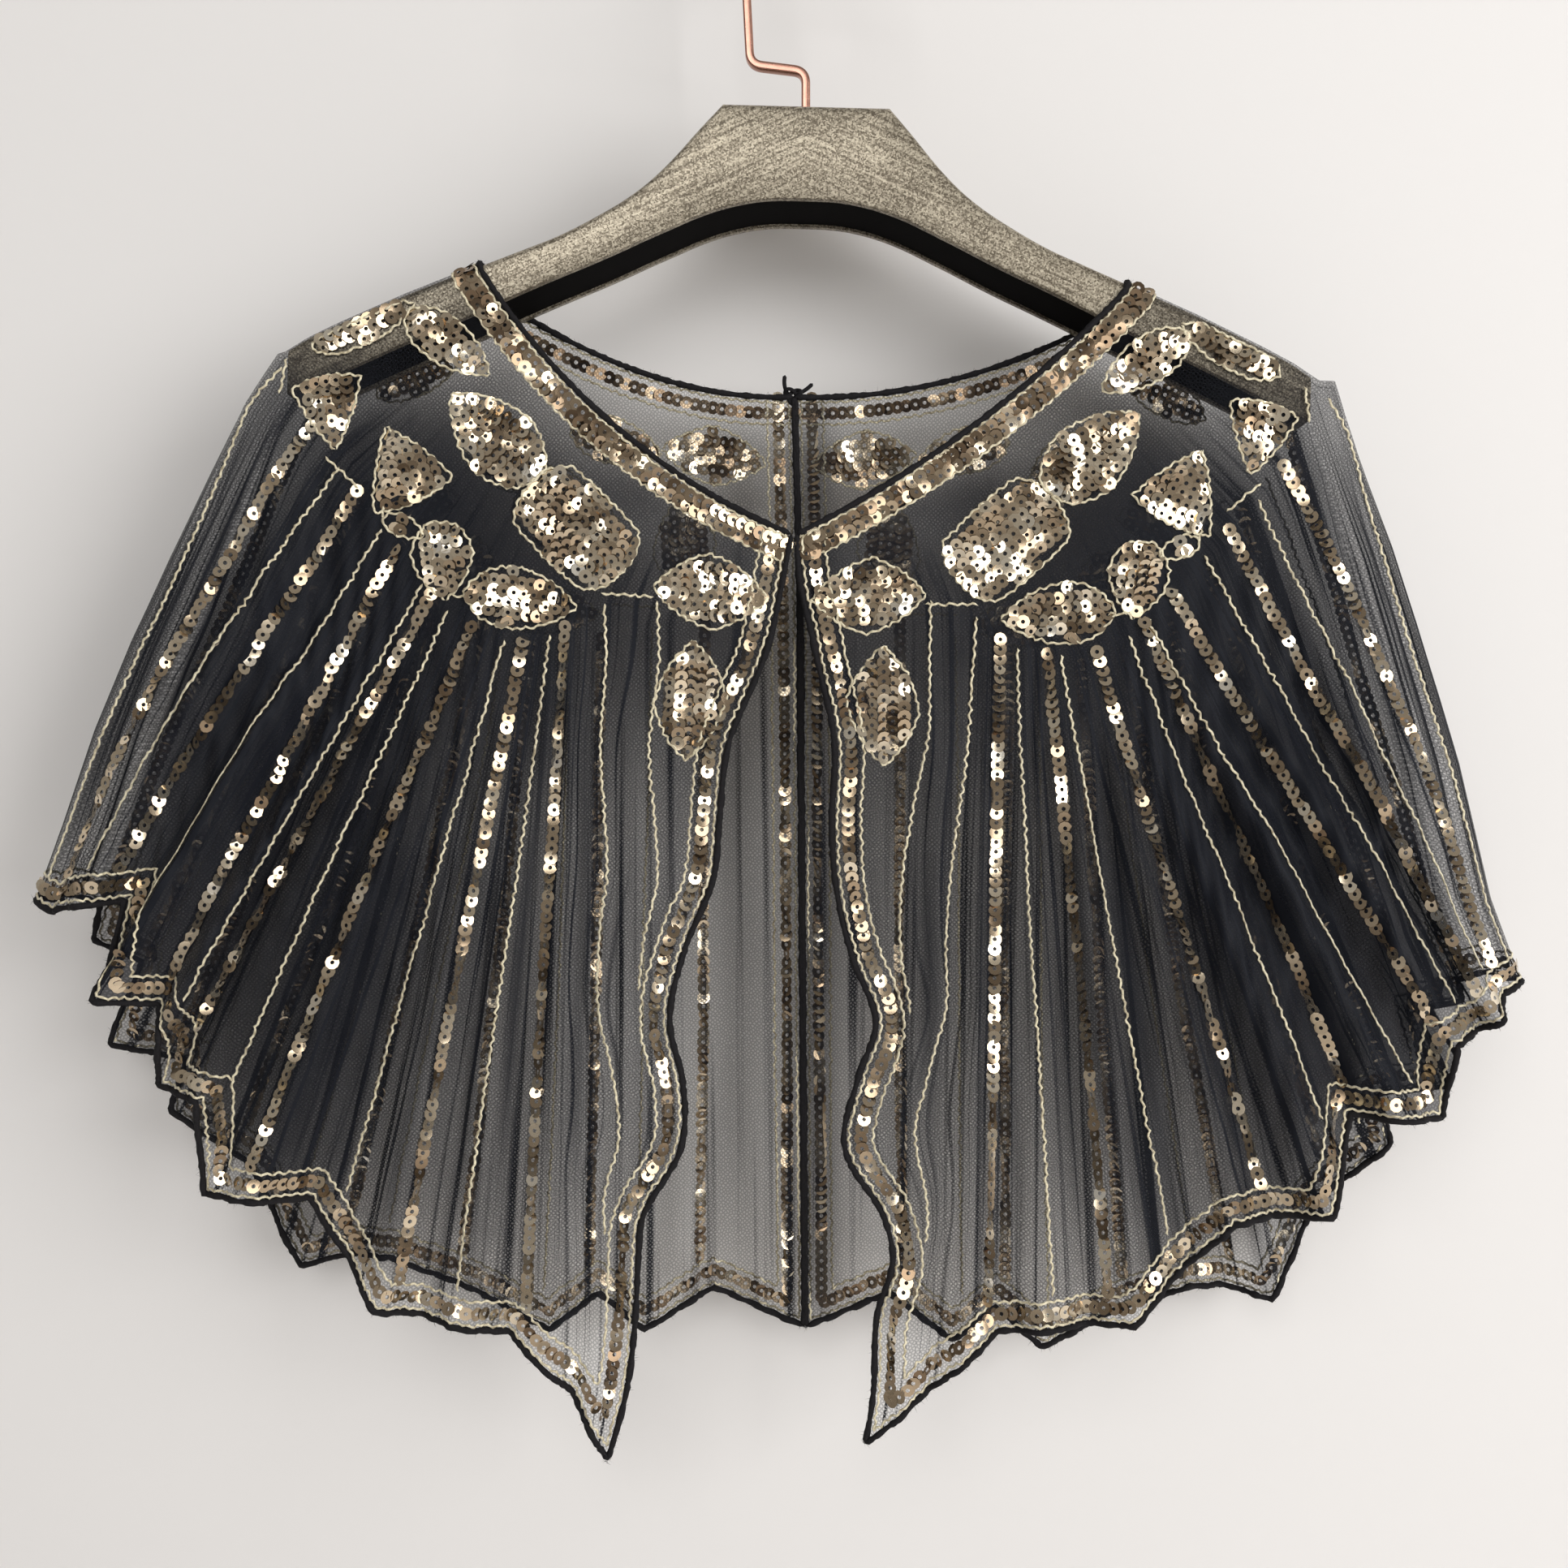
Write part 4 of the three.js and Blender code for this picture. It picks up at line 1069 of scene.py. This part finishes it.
t = np.linspace(0, 2 * np.pi, KNOT_STEPS)
loop_x, loop_z = np.sin(t) + 2 * np.sin(2 * t), np.cos(t) - 2 * np.cos(2 * t)
loop = KNOT_SIZE * places(loop_x, -np.sin(3 * t), loop_z)
knot_lines = (loop, *(curve(*np.array(end, float)) for end in KNOT_ENDS))
points, faces = tubes([loose_thread(line) for line in knot_lines], EDGING_SIDES)
knot = mesh_piece("neck_knot", points, faces.tolist(), thread_black)

# Embroidery plan
# The trims follow the edges at even distances, the motifs lie on the yoke, and lines fan out from
# them to the hem. All of it is worked out in the front or back view and then laid on the net.
NECK_CHAINS_IN = (1.7, 10.2)
NECK_SEQUINS_IN = (4.1, 7.9)
BACK_NECK_SEQUINS_IN = 6.0
SKIRT_CHAINS_IN = (1.9, 10.2)
SKIRT_SEQUINS_IN = 6.0
FAN_CLEAR = 11.8
FAN_STEPS = 320
FAN_ROOT = 40
FAN_SHORTEST = 50
MITRE_LIMIT = 2.6
SAME_POINT = 1e-6
PLAN_STEP = 0.8
OUTLINE_STEPS = (160, 260, 40)
SEARCH_GRID = (110, 70)
SEARCH_STEPS = 10
LONGEST_STEP = (0.7, 0.1)
LEAST_AREA = 1e-3
ON_NET = 0.6
KEPT_SHARE = 0.965
STRIP_CLEAR = 0.08
STRIP_POINTS = 60
STRIP_STEP = 0.01

# Fan lines, front and back: the ribs where each starts on the yoke and where it is aimed at the
# hem, and whether it is a line of sequins or of chain.
LEFT_FRONT_FAN = (
    (0.9, 0.0, 0), (1.75, 0.5, 0), (3.8, 3.46, 1), (4.9, 5.2, 0), (6.6, 6.57, 1), (8.3, 8.4, 0),
    (10.3, 10.2, 1), (11.65, 11.45, 0), (12.9, 12.8, 1), (13.6, 13.9, 0), (15.3, 15.0, 1),
    (16.3, 16.4, 0), (18.0, 18.6, 1), (18.8, 19.6, 0), (19.9, 20.7, 1), (20.9, 22.4, 0),
)
RIGHT_FRONT_FAN = (
    (1.2, 0.0, 0), (2.5, 0.6, 0), (3.7, 3.6, 1), (4.7, 5.2, 0), (6.7, 6.5, 1), (7.7, 7.9, 0),
    (9.8, 9.8, 1), (11.5, 11.4, 0), (12.6, 12.1, 1), (13.0, 13.7, 0), (14.5, 14.8, 1),
    (15.8, 15.7, 0), (16.7, 16.7, 1), (17.6, 17.8, 0), (18.2, 18.9, 1), (18.9, 20.4, 0),
)
BACK_FAN = (
    (1.0, 1.2, 1), (1.9, 2.2, 0), (3.0, 3.2, 1), (3.9, 4.1, 0), (5.0, 5.1, 1), (6.0, 6.2, 0),
    (7.2, 7.2, 1), (8.2, 8.2, 0), (9.2, 9.2, 1), (10.2, 10.2, 0), (11.2, 11.2, 1), (12.1, 12.1, 0),
    (13.0, 13.0, 1), (13.9, 13.9, 0), (14.6, 14.6, 1),
)

# Motifs: the corners of each form in half lengths and half widths, with how far the side after each
# corner bulges; and where each lies: how far out from the middle, height, length, width and tilt.
FORMS = {
    "diamond": ((1, 0, 0.07), (0.1, 1, 0.09), (-1, -0.05, 0.07), (-0.1, -1, 0.09)),
    "block": (
        (1, 0.5, 0.06), (0.74, 0.98, 0.03), (-0.78, 0.94, 0.06), (-1, 0.45, 0.05),
        (-0.98, -0.55, 0.06), (-0.7, -0.98, 0.03), (0.8, -0.94, 0.06), (1, -0.42, 0.05),
    ),
    "bud": ((-1, -0.1, 0.1), (0.25, -1, 0.09), (1, -0.3, 0.06), (0.85, 0.6, 0.09), (0.1, 1, 0.09)),
    "leaf": ((-1, 0, 0.1), (0.25, -0.92, 0.14), (1, 0, 0.14), (0.2, 1, 0.1)),
    "triangle": ((1, 0, 0.05), (-0.8, 1, 0.09), (-0.9, -1, 0.05)),
}
FRONT_MOTIFS = (
    ("diamond", 28.8, -256.5, 41, 27, 5), ("diamond", 36.0, -295.3, 43, 26, 93),
    ("block", 76.4, -234.0, 44, 30, 44), ("bud", 106.0, -201.5, 43, 27, 222),
    ("leaf", 122.5, -168.0, 38, 17, 37), ("leaf", 152.5, -162.0, 40, 13, -24),
    ("triangle", 164.0, -193.0, 26, 25, 262), ("triangle", 139.0, -211.0, 28, 31, 68),
    ("leaf", 138.0, -233.5, 16, 8, 24), ("bud", 124.0, -245.5, 28, 22, 82),
    ("leaf", 96.5, -259.5, 41, 23, 8),
)
BACK_MOTIFS = (
    ("diamond", 29.0, -201, 40, 22, 8), ("leaf", 66.0, -196, 36, 18, 16),
    ("diamond", 40.0, -236, 40, 24, 86), ("block", 84.0, -226, 42, 28, 44),
    ("bud", 110.0, -198, 42, 25, 220), ("leaf", 141.0, -172, 34, 13, -22),
    ("triangle", 142.0, -212, 28, 28, 70), ("bud", 122.0, -244, 27, 20, 80),
    ("leaf", 92.0, -259, 40, 20, 6),
)
# Short chains that link one motif to the next, as places out from the middle and heights.
LINKS = (
    ((49.0, -258.4), (67.8, -257.2)),
    ((145.6, -226.0), (145.0, -231.0)),
    ((154.2, -219.5), (165.8, -208.5)),
    ((182.0, -186.3), (179.6, -173.4)),
    ((114.0, -258.5), (121.0, -258.0)),
)
SIDE_STEPS = 16
MOTIF_MIDDLE = -5.4
MOTIF_TURN = {LEFT.name: 0.0, RIGHT.name: -3.2}
MOTIF_ROW = 3.5
MOTIF_PITCH = 3.5
MOTIF_EDGE = 1.9
MOTIF_EDGE_KEPT = 0.97
FILL_STEP = 0.2
SHORTEST_BORDER = 12
SHORTEST_LINK = 3

# How bright the sequins are, from 0 to 1.
NECK_TONE = 0.42
BACK_NECK_TONE = 0.32
SKIRT_TONE = 0.52
FAN_TONE = 0.6
MOTIF_TONE = 0.6


def laid(half, side, line):
    """A line of the plan laid on the net, as places around the half and down it: the nearest of a
    coarse grid, then Newton's steps along the surface's slopes. Points that miss the net are left
    out."""

    def plan(place, run):
        return places(*panel_plan(half, side, place, run)[:2])

    u, v = np.meshgrid(np.linspace(0, side.last, SEARCH_GRID[0]), np.linspace(0, 2, SEARCH_GRID[1]))
    u, v = u.ravel(), v.ravel()
    grid = plan(u, v)
    squares = (line**2).sum(1)[:, None] - 2 * line @ grid.T + (grid**2).sum(1)[None]
    nearest = np.argmin(squares, axis=1)
    u, v = u[nearest], v[nearest]
    for _ in range(SEARCH_STEPS):
        here, du, dv = slopes(plan, u, v, side.last)
        miss = line - here
        area = du[:, 0] * dv[:, 1] - du[:, 1] * dv[:, 0]
        area = np.where(np.abs(area) < LEAST_AREA, np.inf, area)
        by_u = (miss[:, 0] * dv[:, 1] - miss[:, 1] * dv[:, 0]) / area
        by_v = (du[:, 0] * miss[:, 1] - du[:, 1] * miss[:, 0]) / area
        u = np.clip(u + np.clip(by_u, -LONGEST_STEP[0], LONGEST_STEP[0]), 0, side.last)
        v = np.clip(v + np.clip(by_v, -LONGEST_STEP[1], LONGEST_STEP[1]), 0, 2)
    hit = np.linalg.norm(line - plan(u, v), axis=1) <= ON_NET
    return (u if side.facing < 0 else half.around - u)[hit], v[hit]


def spread_along(line, step):
    """A line of the plan with points at an even step."""
    length = lengths(line)
    at = np.linspace(0, length[-1], max(2, int(length[-1] / step)))
    return places(*(np.interp(at, length, axis) for axis in line.T))


def distance_to(line, points):
    """How far points of the plan are from a line of it."""
    a, b = line[:-1], line[1:]
    ab = b - a
    share = ((points[:, None] - a) * ab).sum(-1) / np.maximum((ab**2).sum(-1), TINY)
    nearest = a + np.clip(share, 0, 1)[..., None] * ab
    return np.linalg.norm(points[:, None] - nearest, axis=-1).min(axis=1)


def set_in(line, distance, hand):
    """A line moved sideways by a distance, mitred at its corners, with the loops cut off that a
    moved line makes inside tight bends."""
    step = np.diff(line, axis=0)
    step = step[np.linalg.norm(step, axis=1) > SAME_POINT]
    normal = hand * unit(places(step[:, 1], -step[:, 0]))
    before, after = np.vstack([normal[:1], normal]), np.vstack([normal, normal[-1:]])
    both = before + after
    size = np.maximum((both**2).sum(1), 2 * 2 / MITRE_LIMIT**2)
    moved = line[: len(before)] + both * (2 * distance / size)[:, None]
    moved = spread_along(moved, PLAN_STEP)
    return moved[distance_to(line, moved) > KEPT_SHARE * distance]


def outline_of(half, side):
    """One panel's edges in the plan: the neck from the shoulder inwards, and the skirt down the
    front edge or the seam and along the hem to the side."""
    inner, outer = (0.0, half.front.last) if side.facing < 0 else (half.around, half.strip_end)
    neck_steps, edge_steps, hem_steps = OUTLINE_STEPS
    down = np.linspace(0, 2, edge_steps)[1:]
    hem = np.linspace(inner, outer, hem_steps * side.last + 1)[1:]
    neck = cloth(half, np.linspace(outer, inner, neck_steps), 0)[:, ::2]
    edge, bottom = cloth(half, inner, down)[:, ::2], cloth(half, hem, 2)[:, ::2]
    return {"neck": neck, "skirt": np.vstack([neck[-1:], edge, bottom])}


def over_strip(half, start_run, distance):
    """A path over the shoulder strip at a distance from the neck (start 0) or from the hem (2)."""
    around = np.linspace(half.front.last, half.strip_end, STRIP_POINTS)
    run = np.full_like(around, float(start_run))
    inwards = STRIP_STEP if start_run == 0 else -STRIP_STEP
    steps = np.linalg.norm(cloth(half, around, run + inwards) - cloth(half, around, run), axis=1)
    return around, run + inwards * distance / steps


def trim_path(half, which, distance):
    """A trim's path round the whole half: the front, over the strip, and the back."""
    parts = []
    for side in (half.front, half.back):
        line = outline_of(half, side)[which]
        path = np.array(laid(half, side, set_in(line, distance, -half.sign)))
        strip_side = half.front.last if side.facing < 0 else half.strip_end
        parts.append(path[:, np.abs(path[0] - strip_side) > STRIP_CLEAR])
    front, back = parts
    if which == "neck":
        front, strip = front[:, ::-1], over_strip(half, 0, distance)
    else:
        back, strip = back[:, ::-1], over_strip(half, 2, distance)
    return np.hstack([front, strip, back])


def fan_paths(half, side, rows):
    """The fan's lines on one panel, each straight in ribs, ended clear of the trims."""
    skirt = outline_of(half, side)["skirt"]
    run = np.linspace(1.0, 2, FAN_STEPS)
    paths = []
    for start, end, sequins in rows:
        place = mix(start, end, run - 1)
        u = place if side.facing < 0 else half.around - place
        clear = distance_to(skirt, cloth(half, u, run)[:, ::2]) > FAN_CLEAR
        clear[:FAN_ROOT] = True
        stop = len(run) if clear.all() else int(np.argmin(clear))
        if stop > FAN_SHORTEST:
            paths.append(((u[:stop], run[:stop]), bool(sequins)))
    return paths


def motif_outline(form, length, width):
    """A closed form of slightly bulging sides between its corners."""
    corners = np.array(FORMS[form], float)
    size = np.array([length / 2, width / 2])
    a = corners[:, :2] * size
    b = np.roll(a, -1, axis=0)
    t = np.linspace(0, 1, SIDE_STEPS, endpoint=False)[None, :, None]
    step = b - a
    outwards = places(step[:, 1], -step[:, 0])
    turning = (a[:, 0] * b[:, 1] - a[:, 1] * b[:, 0]).sum()
    bulge = np.sign(turning) * outwards * corners[:, 2:] * 4
    line = mix(a[:, None], b[:, None], t) + bulge[:, None] * t * (1 - t)
    line = line.reshape(-1, 2)
    return np.vstack([line, line[:1]])


def is_inside(line, points):
    """Whether points of the plan are inside a closed line: it is crossed an odd number of times on
    the way out."""
    a, b = line[:-1], line[1:]
    x, y = points[:, :1], points[:, 1:]
    spans = (a[:, 1] > y) != (b[:, 1] > y)
    rise = np.where(b[:, 1] == a[:, 1], 1, b[:, 1] - a[:, 1])
    crossing = a[:, 0] + (y - a[:, 1]) * (b[:, 0] - a[:, 0]) / rise
    return (spans & (x < crossing)).sum(axis=1) % 2 == 1


def turn_by(degrees):
    """The matrix that turns points of the plan anticlockwise."""
    c, s = math.cos(math.radians(degrees)), math.sin(math.radians(degrees))
    return np.array([[c, s], [-s, c]])


def place_motif(half, side, out, z, tilt, points):
    """Points about a motif's middle, turned and moved to its place on one panel."""
    place = points @ turn_by(tilt) + [out, z]
    pivot = np.array([0, side.neck[1]])
    place = (place - pivot) @ turn_by(MOTIF_TURN[half.name]) + pivot
    return place * [half.sign, 1] + [MOTIF_MIDDLE, 0]


def motif_fill(outline):
    """Sequins in rows along a motif, each row spread evenly between the form's sides."""
    low, high = outline[:, 1].min() + MOTIF_EDGE, outline[:, 1].max() - MOTIF_EDGE
    rows = max(1, int(round((high - low) / MOTIF_ROW)) + 1)
    along = np.arange(outline[:, 0].min(), outline[:, 0].max(), FILL_STEP)
    spots = []
    for y in np.linspace(low, high, rows) if rows > 1 else [(low + high) / 2]:
        points = places(along, np.full_like(along, y))
        clear = distance_to(outline, points) > MOTIF_EDGE * MOTIF_EDGE_KEPT
        inside = is_inside(outline, points) & clear
        if inside.any():
            first, last = along[inside][[0, -1]]
            count = int(round((last - first) / MOTIF_PITCH)) + 1
            x = np.linspace(first, last, count) if count > 1 else np.array([(first + last) / 2])
            spots.append(places(x, np.full_like(x, y)))
    return np.concatenate(spots) if spots else np.zeros((0, 2))


def embroidery(half):
    """A half's lines of chain, its lines of sequins with their usual tones, and the motifs' fills."""
    chains = [trim_path(half, "neck", distance) for distance in NECK_CHAINS_IN]
    chains += [trim_path(half, "skirt", distance) for distance in SKIRT_CHAINS_IN]
    sequin_lines, fills = [], []
    for distance in NECK_SEQUINS_IN:
        path = trim_path(half, "neck", distance)
        sequin_lines.append((path[:, path[0] < half.strip_end], NECK_TONE))
    path = trim_path(half, "neck", BACK_NECK_SEQUINS_IN)
    sequin_lines.append((path[:, path[0] > half.strip_end], BACK_NECK_TONE))
    sequin_lines.append((trim_path(half, "skirt", SKIRT_SEQUINS_IN), SKIRT_TONE))
    front_fan = LEFT_FRONT_FAN if half is LEFT else RIGHT_FRONT_FAN
    for side, rows in ((half.front, front_fan), (half.back, BACK_FAN)):
        for path, sequins in fan_paths(half, side, rows):
            if sequins:
                sequin_lines.append((path, FAN_TONE))
            else:
                chains.append(path)
    for side, rows in ((half.front, FRONT_MOTIFS), (half.back, BACK_MOTIFS)):
        for form, out, z, length, width, tilt in rows:
            outline = motif_outline(form, length, width)
            border = place_motif(half, side, out, z, tilt, spread_along(outline, PLAN_STEP))
            path = laid(half, side, border)
            if len(path[0]) > SHORTEST_BORDER:
                chains.append(path)
            spots = place_motif(half, side, out, z, tilt, motif_fill(outline))
            fills.append(laid(half, side, spots))
        for link in LINKS:
            line = place_motif(half, side, 0, 0, 0, np.array(link))
            path = laid(half, side, spread_along(line, PLAN_STEP))
            if len(path[0]) > SHORTEST_LINK:
                chains.append(path)
    return SimpleNamespace(chains=chains, sequin_lines=sequin_lines, fills=fills)


plans = {half.name: embroidery(half) for half in HALVES}

# Chain stitch
# Pale champagne thread in wavy lines of chain stitch: both sides of every trim, round each motif
# and every other line of the fan.
CHAIN_STEP = 0.95
CHAIN_RADIUS = 0.56
CHAIN_LINK = 2.3
CHAIN_WAVE = 4.0
CHAIN_WAVE_OUT = 0.36
CHAIN_STRAY = 0.16
CHAIN_DRIFT = 0.22
CHAIN_FLATNESS = 0.6
CHAIN_THINNEST = 0.82
CHAIN_SWELL = 0.3
CHAIN_HEIGHT = 0.45
CHAIN_SIDES = 4
CHAIN_DARK = (0.30, 0.24, 0.14, 1)
CHAIN_LIGHT = (0.80, 0.72, 0.51, 1)
CHAIN_LOOKS = {"Roughness": 0.42, "Sheen Weight": 0.3}


def chain_mesh(half, material, rng):
    """Wavy threads whose thickness swells and shrinks with each link of the chain."""
    threads = []
    for path in plans[half.name].chains:
        points, _, across, normal = path_frames(half, paced(half, path, CHAIN_STEP))
        at = np.arange(len(points)) * CHAIN_STEP
        drift = np.cumsum(rng.normal(0, CHAIN_DRIFT, len(points)))
        wave = CHAIN_WAVE_OUT * np.sin(2 * np.pi * at / CHAIN_WAVE + drift)
        wave = wave + rng.normal(0, CHAIN_STRAY, len(points))
        line = points + across * wave[:, None] + normal * CHAIN_HEIGHT
        swell = CHAIN_SWELL * np.abs(np.sin(np.pi * at / CHAIN_LINK))
        radii = CHAIN_RADIUS * (CHAIN_THINNEST + swell)
        threads.append((line, across, normal, radii))
    points, faces = tubes(threads, CHAIN_SIDES, flatness=CHAIN_FLATNESS)
    return mesh_piece(f"chain_stitch_{half.name}_half", points, faces.tolist(), material)


gold_ends = (0.3, CHAIN_DARK), (0.62, CHAIN_LIGHT)
thread_gold = sewing_thread("chain_thread", *gold_ends, 0.5, {"Scale": 700, "Detail": 4}, CHAIN_LOOKS)
chains = on_both(chain_mesh, thread_gold, seed=31)

# Sequins
# Cupped champagne sequins of 5 mm with a hole in the middle, sewn so that each overlaps the next
# along its line like a shingle.
SEQUIN_RADII = (0.75, 1.6, 2.5)
SEQUIN_RISE = (0.0, 0.01, 0.05)
SEQUIN_SIDES = 10
SEQUIN_LINE_PITCH = 3.45
SEQUIN_LEAN = math.radians(10)
SEQUIN_WOBBLE = math.radians(1.6)
PATCH_TILT = math.radians(12)
PATCH_LENGTH = 16.0
PATCH_WAVES = 6
PATCH_PACE = (0.5, 1.8)
SEQUIN_HEIGHT = 0.55
TONE_SPREAD = 0.04
# How far the patches move a sequin's tone: painted shine shared by neighbours.
PATCH_SHINE_AND_TONE = 0.12
SEQUIN_TONES = (
    (0.0, (0.05, 0.034, 0.022, 1)),
    (0.3, (0.21, 0.145, 0.09, 1)),
    (0.55, (0.52, 0.405, 0.275, 1)),
    (0.8, (0.82, 0.71, 0.54, 1)),
    (1.0, (1.0, 0.95, 0.85, 1)),
)


def sequin_film():
    """Thin metallised film, from bronze to pale champagne by each sequin's tone: its own, plus patches
    of painted shine.
    """
    material, tree = new_material("sequin_film")
    colour = add_ramp(tree, add(tree, "Attribute", "Fac", attribute_name="tone"), *SEQUIN_TONES)
    return finish(material, {"Base Color": colour, "Metallic": 0.9, "Roughness": 0.15})


def patches(points, rng):
    """A smooth random field over places: the sum of a few waves with random directions, so that
    neighbouring sequins lean and shine alike. Where it sets their tone, its paler and darker patches
    are painted shine."""
    total = np.zeros(len(points))
    for _ in range(PATCH_WAVES):
        direction = unit(rng.normal(0, 1, 3)) / PATCH_LENGTH * rng.uniform(*PATCH_PACE)
        total += np.sin(2 * np.pi * points @ direction + rng.uniform(0, 2 * np.pi))
    return total / math.sqrt(PATCH_WAVES / 2)


def sequin_places(half, lines, fills):
    """Every sequin's centre, the way its line runs, the outward direction and its usual tone."""
    found = []
    for path, tone in lines:
        points, along, _, normal = path_frames(half, paced(half, path, SEQUIN_LINE_PITCH))
        found.append((points, along, normal, np.full(len(points), tone)))
    for u, v in fills:
        if len(u) > 1:
            points, normal = on_surface(half, u, v)
            row = unit(np.gradient(points, axis=0) + TINY)
            along = unit(row - (row * normal).sum(1)[:, None] * normal)
            found.append((points, along, normal, np.full(len(points), MOTIF_TONE)))
    return [np.concatenate(part) for part in zip(*found)]


def sequin_mesh(half, material, rng):
    """Rings of points at the hole, the waist and the rim of every sequin, leaned and wobbled."""
    plan = plans[half.name]
    centre, along, normal, tone = sequin_places(half, plan.sequin_lines, plan.fills)
    across = unit(np.cross(normal, along))
    count = len(centre)
    lean = SEQUIN_LEAN + PATCH_TILT * patches(centre, rng) + rng.normal(0, SEQUIN_WOBBLE, count)
    roll = PATCH_TILT * patches(centre, rng) + rng.normal(0, SEQUIN_WOBBLE, count)
    # Paler and darker patches of tone are painted shine; the random spread per sequin is its own tone.
    tone = tone + PATCH_SHINE_AND_TONE * patches(centre, rng) + rng.normal(0, TONE_SPREAD, count)
    tone = np.clip(tone, 0, 1)
    tip = unit(along * np.cos(lean)[:, None] + normal * np.sin(lean)[:, None])
    side = unit(across * np.cos(roll)[:, None] + normal * np.sin(roll)[:, None])
    up = unit(np.cross(tip, side))
    turn = 2 * np.pi * np.arange(SEQUIN_SIDES) / SEQUIN_SIDES
    rings = len(SEQUIN_RADII)
    radius, rise = np.repeat(SEQUIN_RADII, SEQUIN_SIDES), np.repeat(SEQUIN_RISE, SEQUIN_SIDES)
    x, y = radius * np.tile(np.cos(turn), rings), radius * np.tile(np.sin(turn), rings)
    x, y, z = (values[None, :, None] for values in (x, y, rise))
    shape = tip[:, None] * x + side[:, None] * y + up[:, None] * z
    points = centre[:, None] + normal[:, None] * SEQUIN_HEIGHT + shape
    one = grid_faces(rings, SEQUIN_SIDES, closed=True)
    faces = one[None] + (np.arange(count) * len(radius))[:, None, None]
    piece = mesh_piece(f"sequins_{half.name}_half", points, faces.reshape(-1, 4).tolist(), material)
    add_values(piece.data, "tone", np.repeat(tone, len(radius)))
    return piece


sequins = on_both(sequin_mesh, sequin_film(), seed=51)

# Studio
# A pale wall close behind the hanger and a pale floor well below it, with soft light from the
# front and the right, so that the capelet's shadow falls faintly to the left and below.
WALL_BEHIND = 52.0
WALL_HALF_WIDTH = 2600.0
WALL_TOP = 1500.0
FLOOR_LEVEL = -1200.0
FLOOR_REACH = 3000.0
WALL_COLOUR = (0.775, 0.751, 0.731, 1)
KEY_AT = (1450.0, -1500.0, -60.0)
KEY_SIZE = 1.3
KEY_POWER = 31.0
FILL_AT = (-350.0, -2000.0, 480.0)
FILL_SIZE = 1.05
FILL_POWER = 14.0
LIGHT_TARGET = (0.0, 0.0, -330.0)
ROOM_LIGHT = 0.28
ROOM_COLOUR = (1, 0.99, 0.97, 1)


def wall_paint():
    """Matt paint, seen only from the room: from behind, the wall lets the view through."""
    material, tree = new_material("wall_paint")
    paint = tree.nodes["Principled BSDF"].outputs["BSDF"]
    behind = add(tree, "NewGeometry", "Backfacing")
    sides = {"Fac": behind, 1: paint, 2: add(tree, "BsdfTransparent", "BSDF")}
    set_inputs(tree.nodes["Material Output"], {"Surface": add(tree, "MixShader", "Shader", sides)})
    return finish(material, {"Base Color": WALL_COLOUR, "Roughness": 0.9})


def stage_sheet(name, corners, material):
    """A flat sheet of the room."""
    mesh = bpy.data.meshes.new(name)
    mesh.from_pydata((np.array(corners, float) * MM).tolist(), [], [(0, 1, 2, 3)])
    mesh.materials.append(material)
    add_object(name, mesh)


def soft_light(name, place, size, power):
    """A square light that faces the capelet."""
    data = bpy.data.lights.new(name, "AREA")
    data.size = size
    data.energy = power
    towards = Vector(LIGHT_TARGET) - Vector(place)
    add_object(name, data, place).rotation_euler = towards.to_track_quat("-Z", "Y").to_euler()


paint = wall_paint()
w = WALL_HALF_WIDTH
wall_foot = [(-w, WALL_BEHIND, FLOOR_LEVEL), (w, WALL_BEHIND, FLOOR_LEVEL)]
wall_head = [(w, WALL_BEHIND, WALL_TOP), (-w, WALL_BEHIND, WALL_TOP)]
floor_front = [(-w, -FLOOR_REACH, FLOOR_LEVEL), (w, -FLOOR_REACH, FLOOR_LEVEL)]
floor_back = [(w, FLOOR_REACH, FLOOR_LEVEL), (-w, FLOOR_REACH, FLOOR_LEVEL)]
stage_sheet("wall", wall_foot + wall_head, paint)
stage_sheet("floor", floor_front + floor_back, paint)
soft_light("key", KEY_AT, KEY_SIZE, KEY_POWER)
soft_light("fill", FILL_AT, FILL_SIZE, FILL_POWER)
world = bpy.data.worlds.new("room")
world.use_nodes = True
set_inputs(world.node_tree.nodes["Background"], {"Color": ROOM_COLOUR, "Strength": ROOM_LIGHT})
scene.world = world
scene.view_settings.view_transform = "Standard"
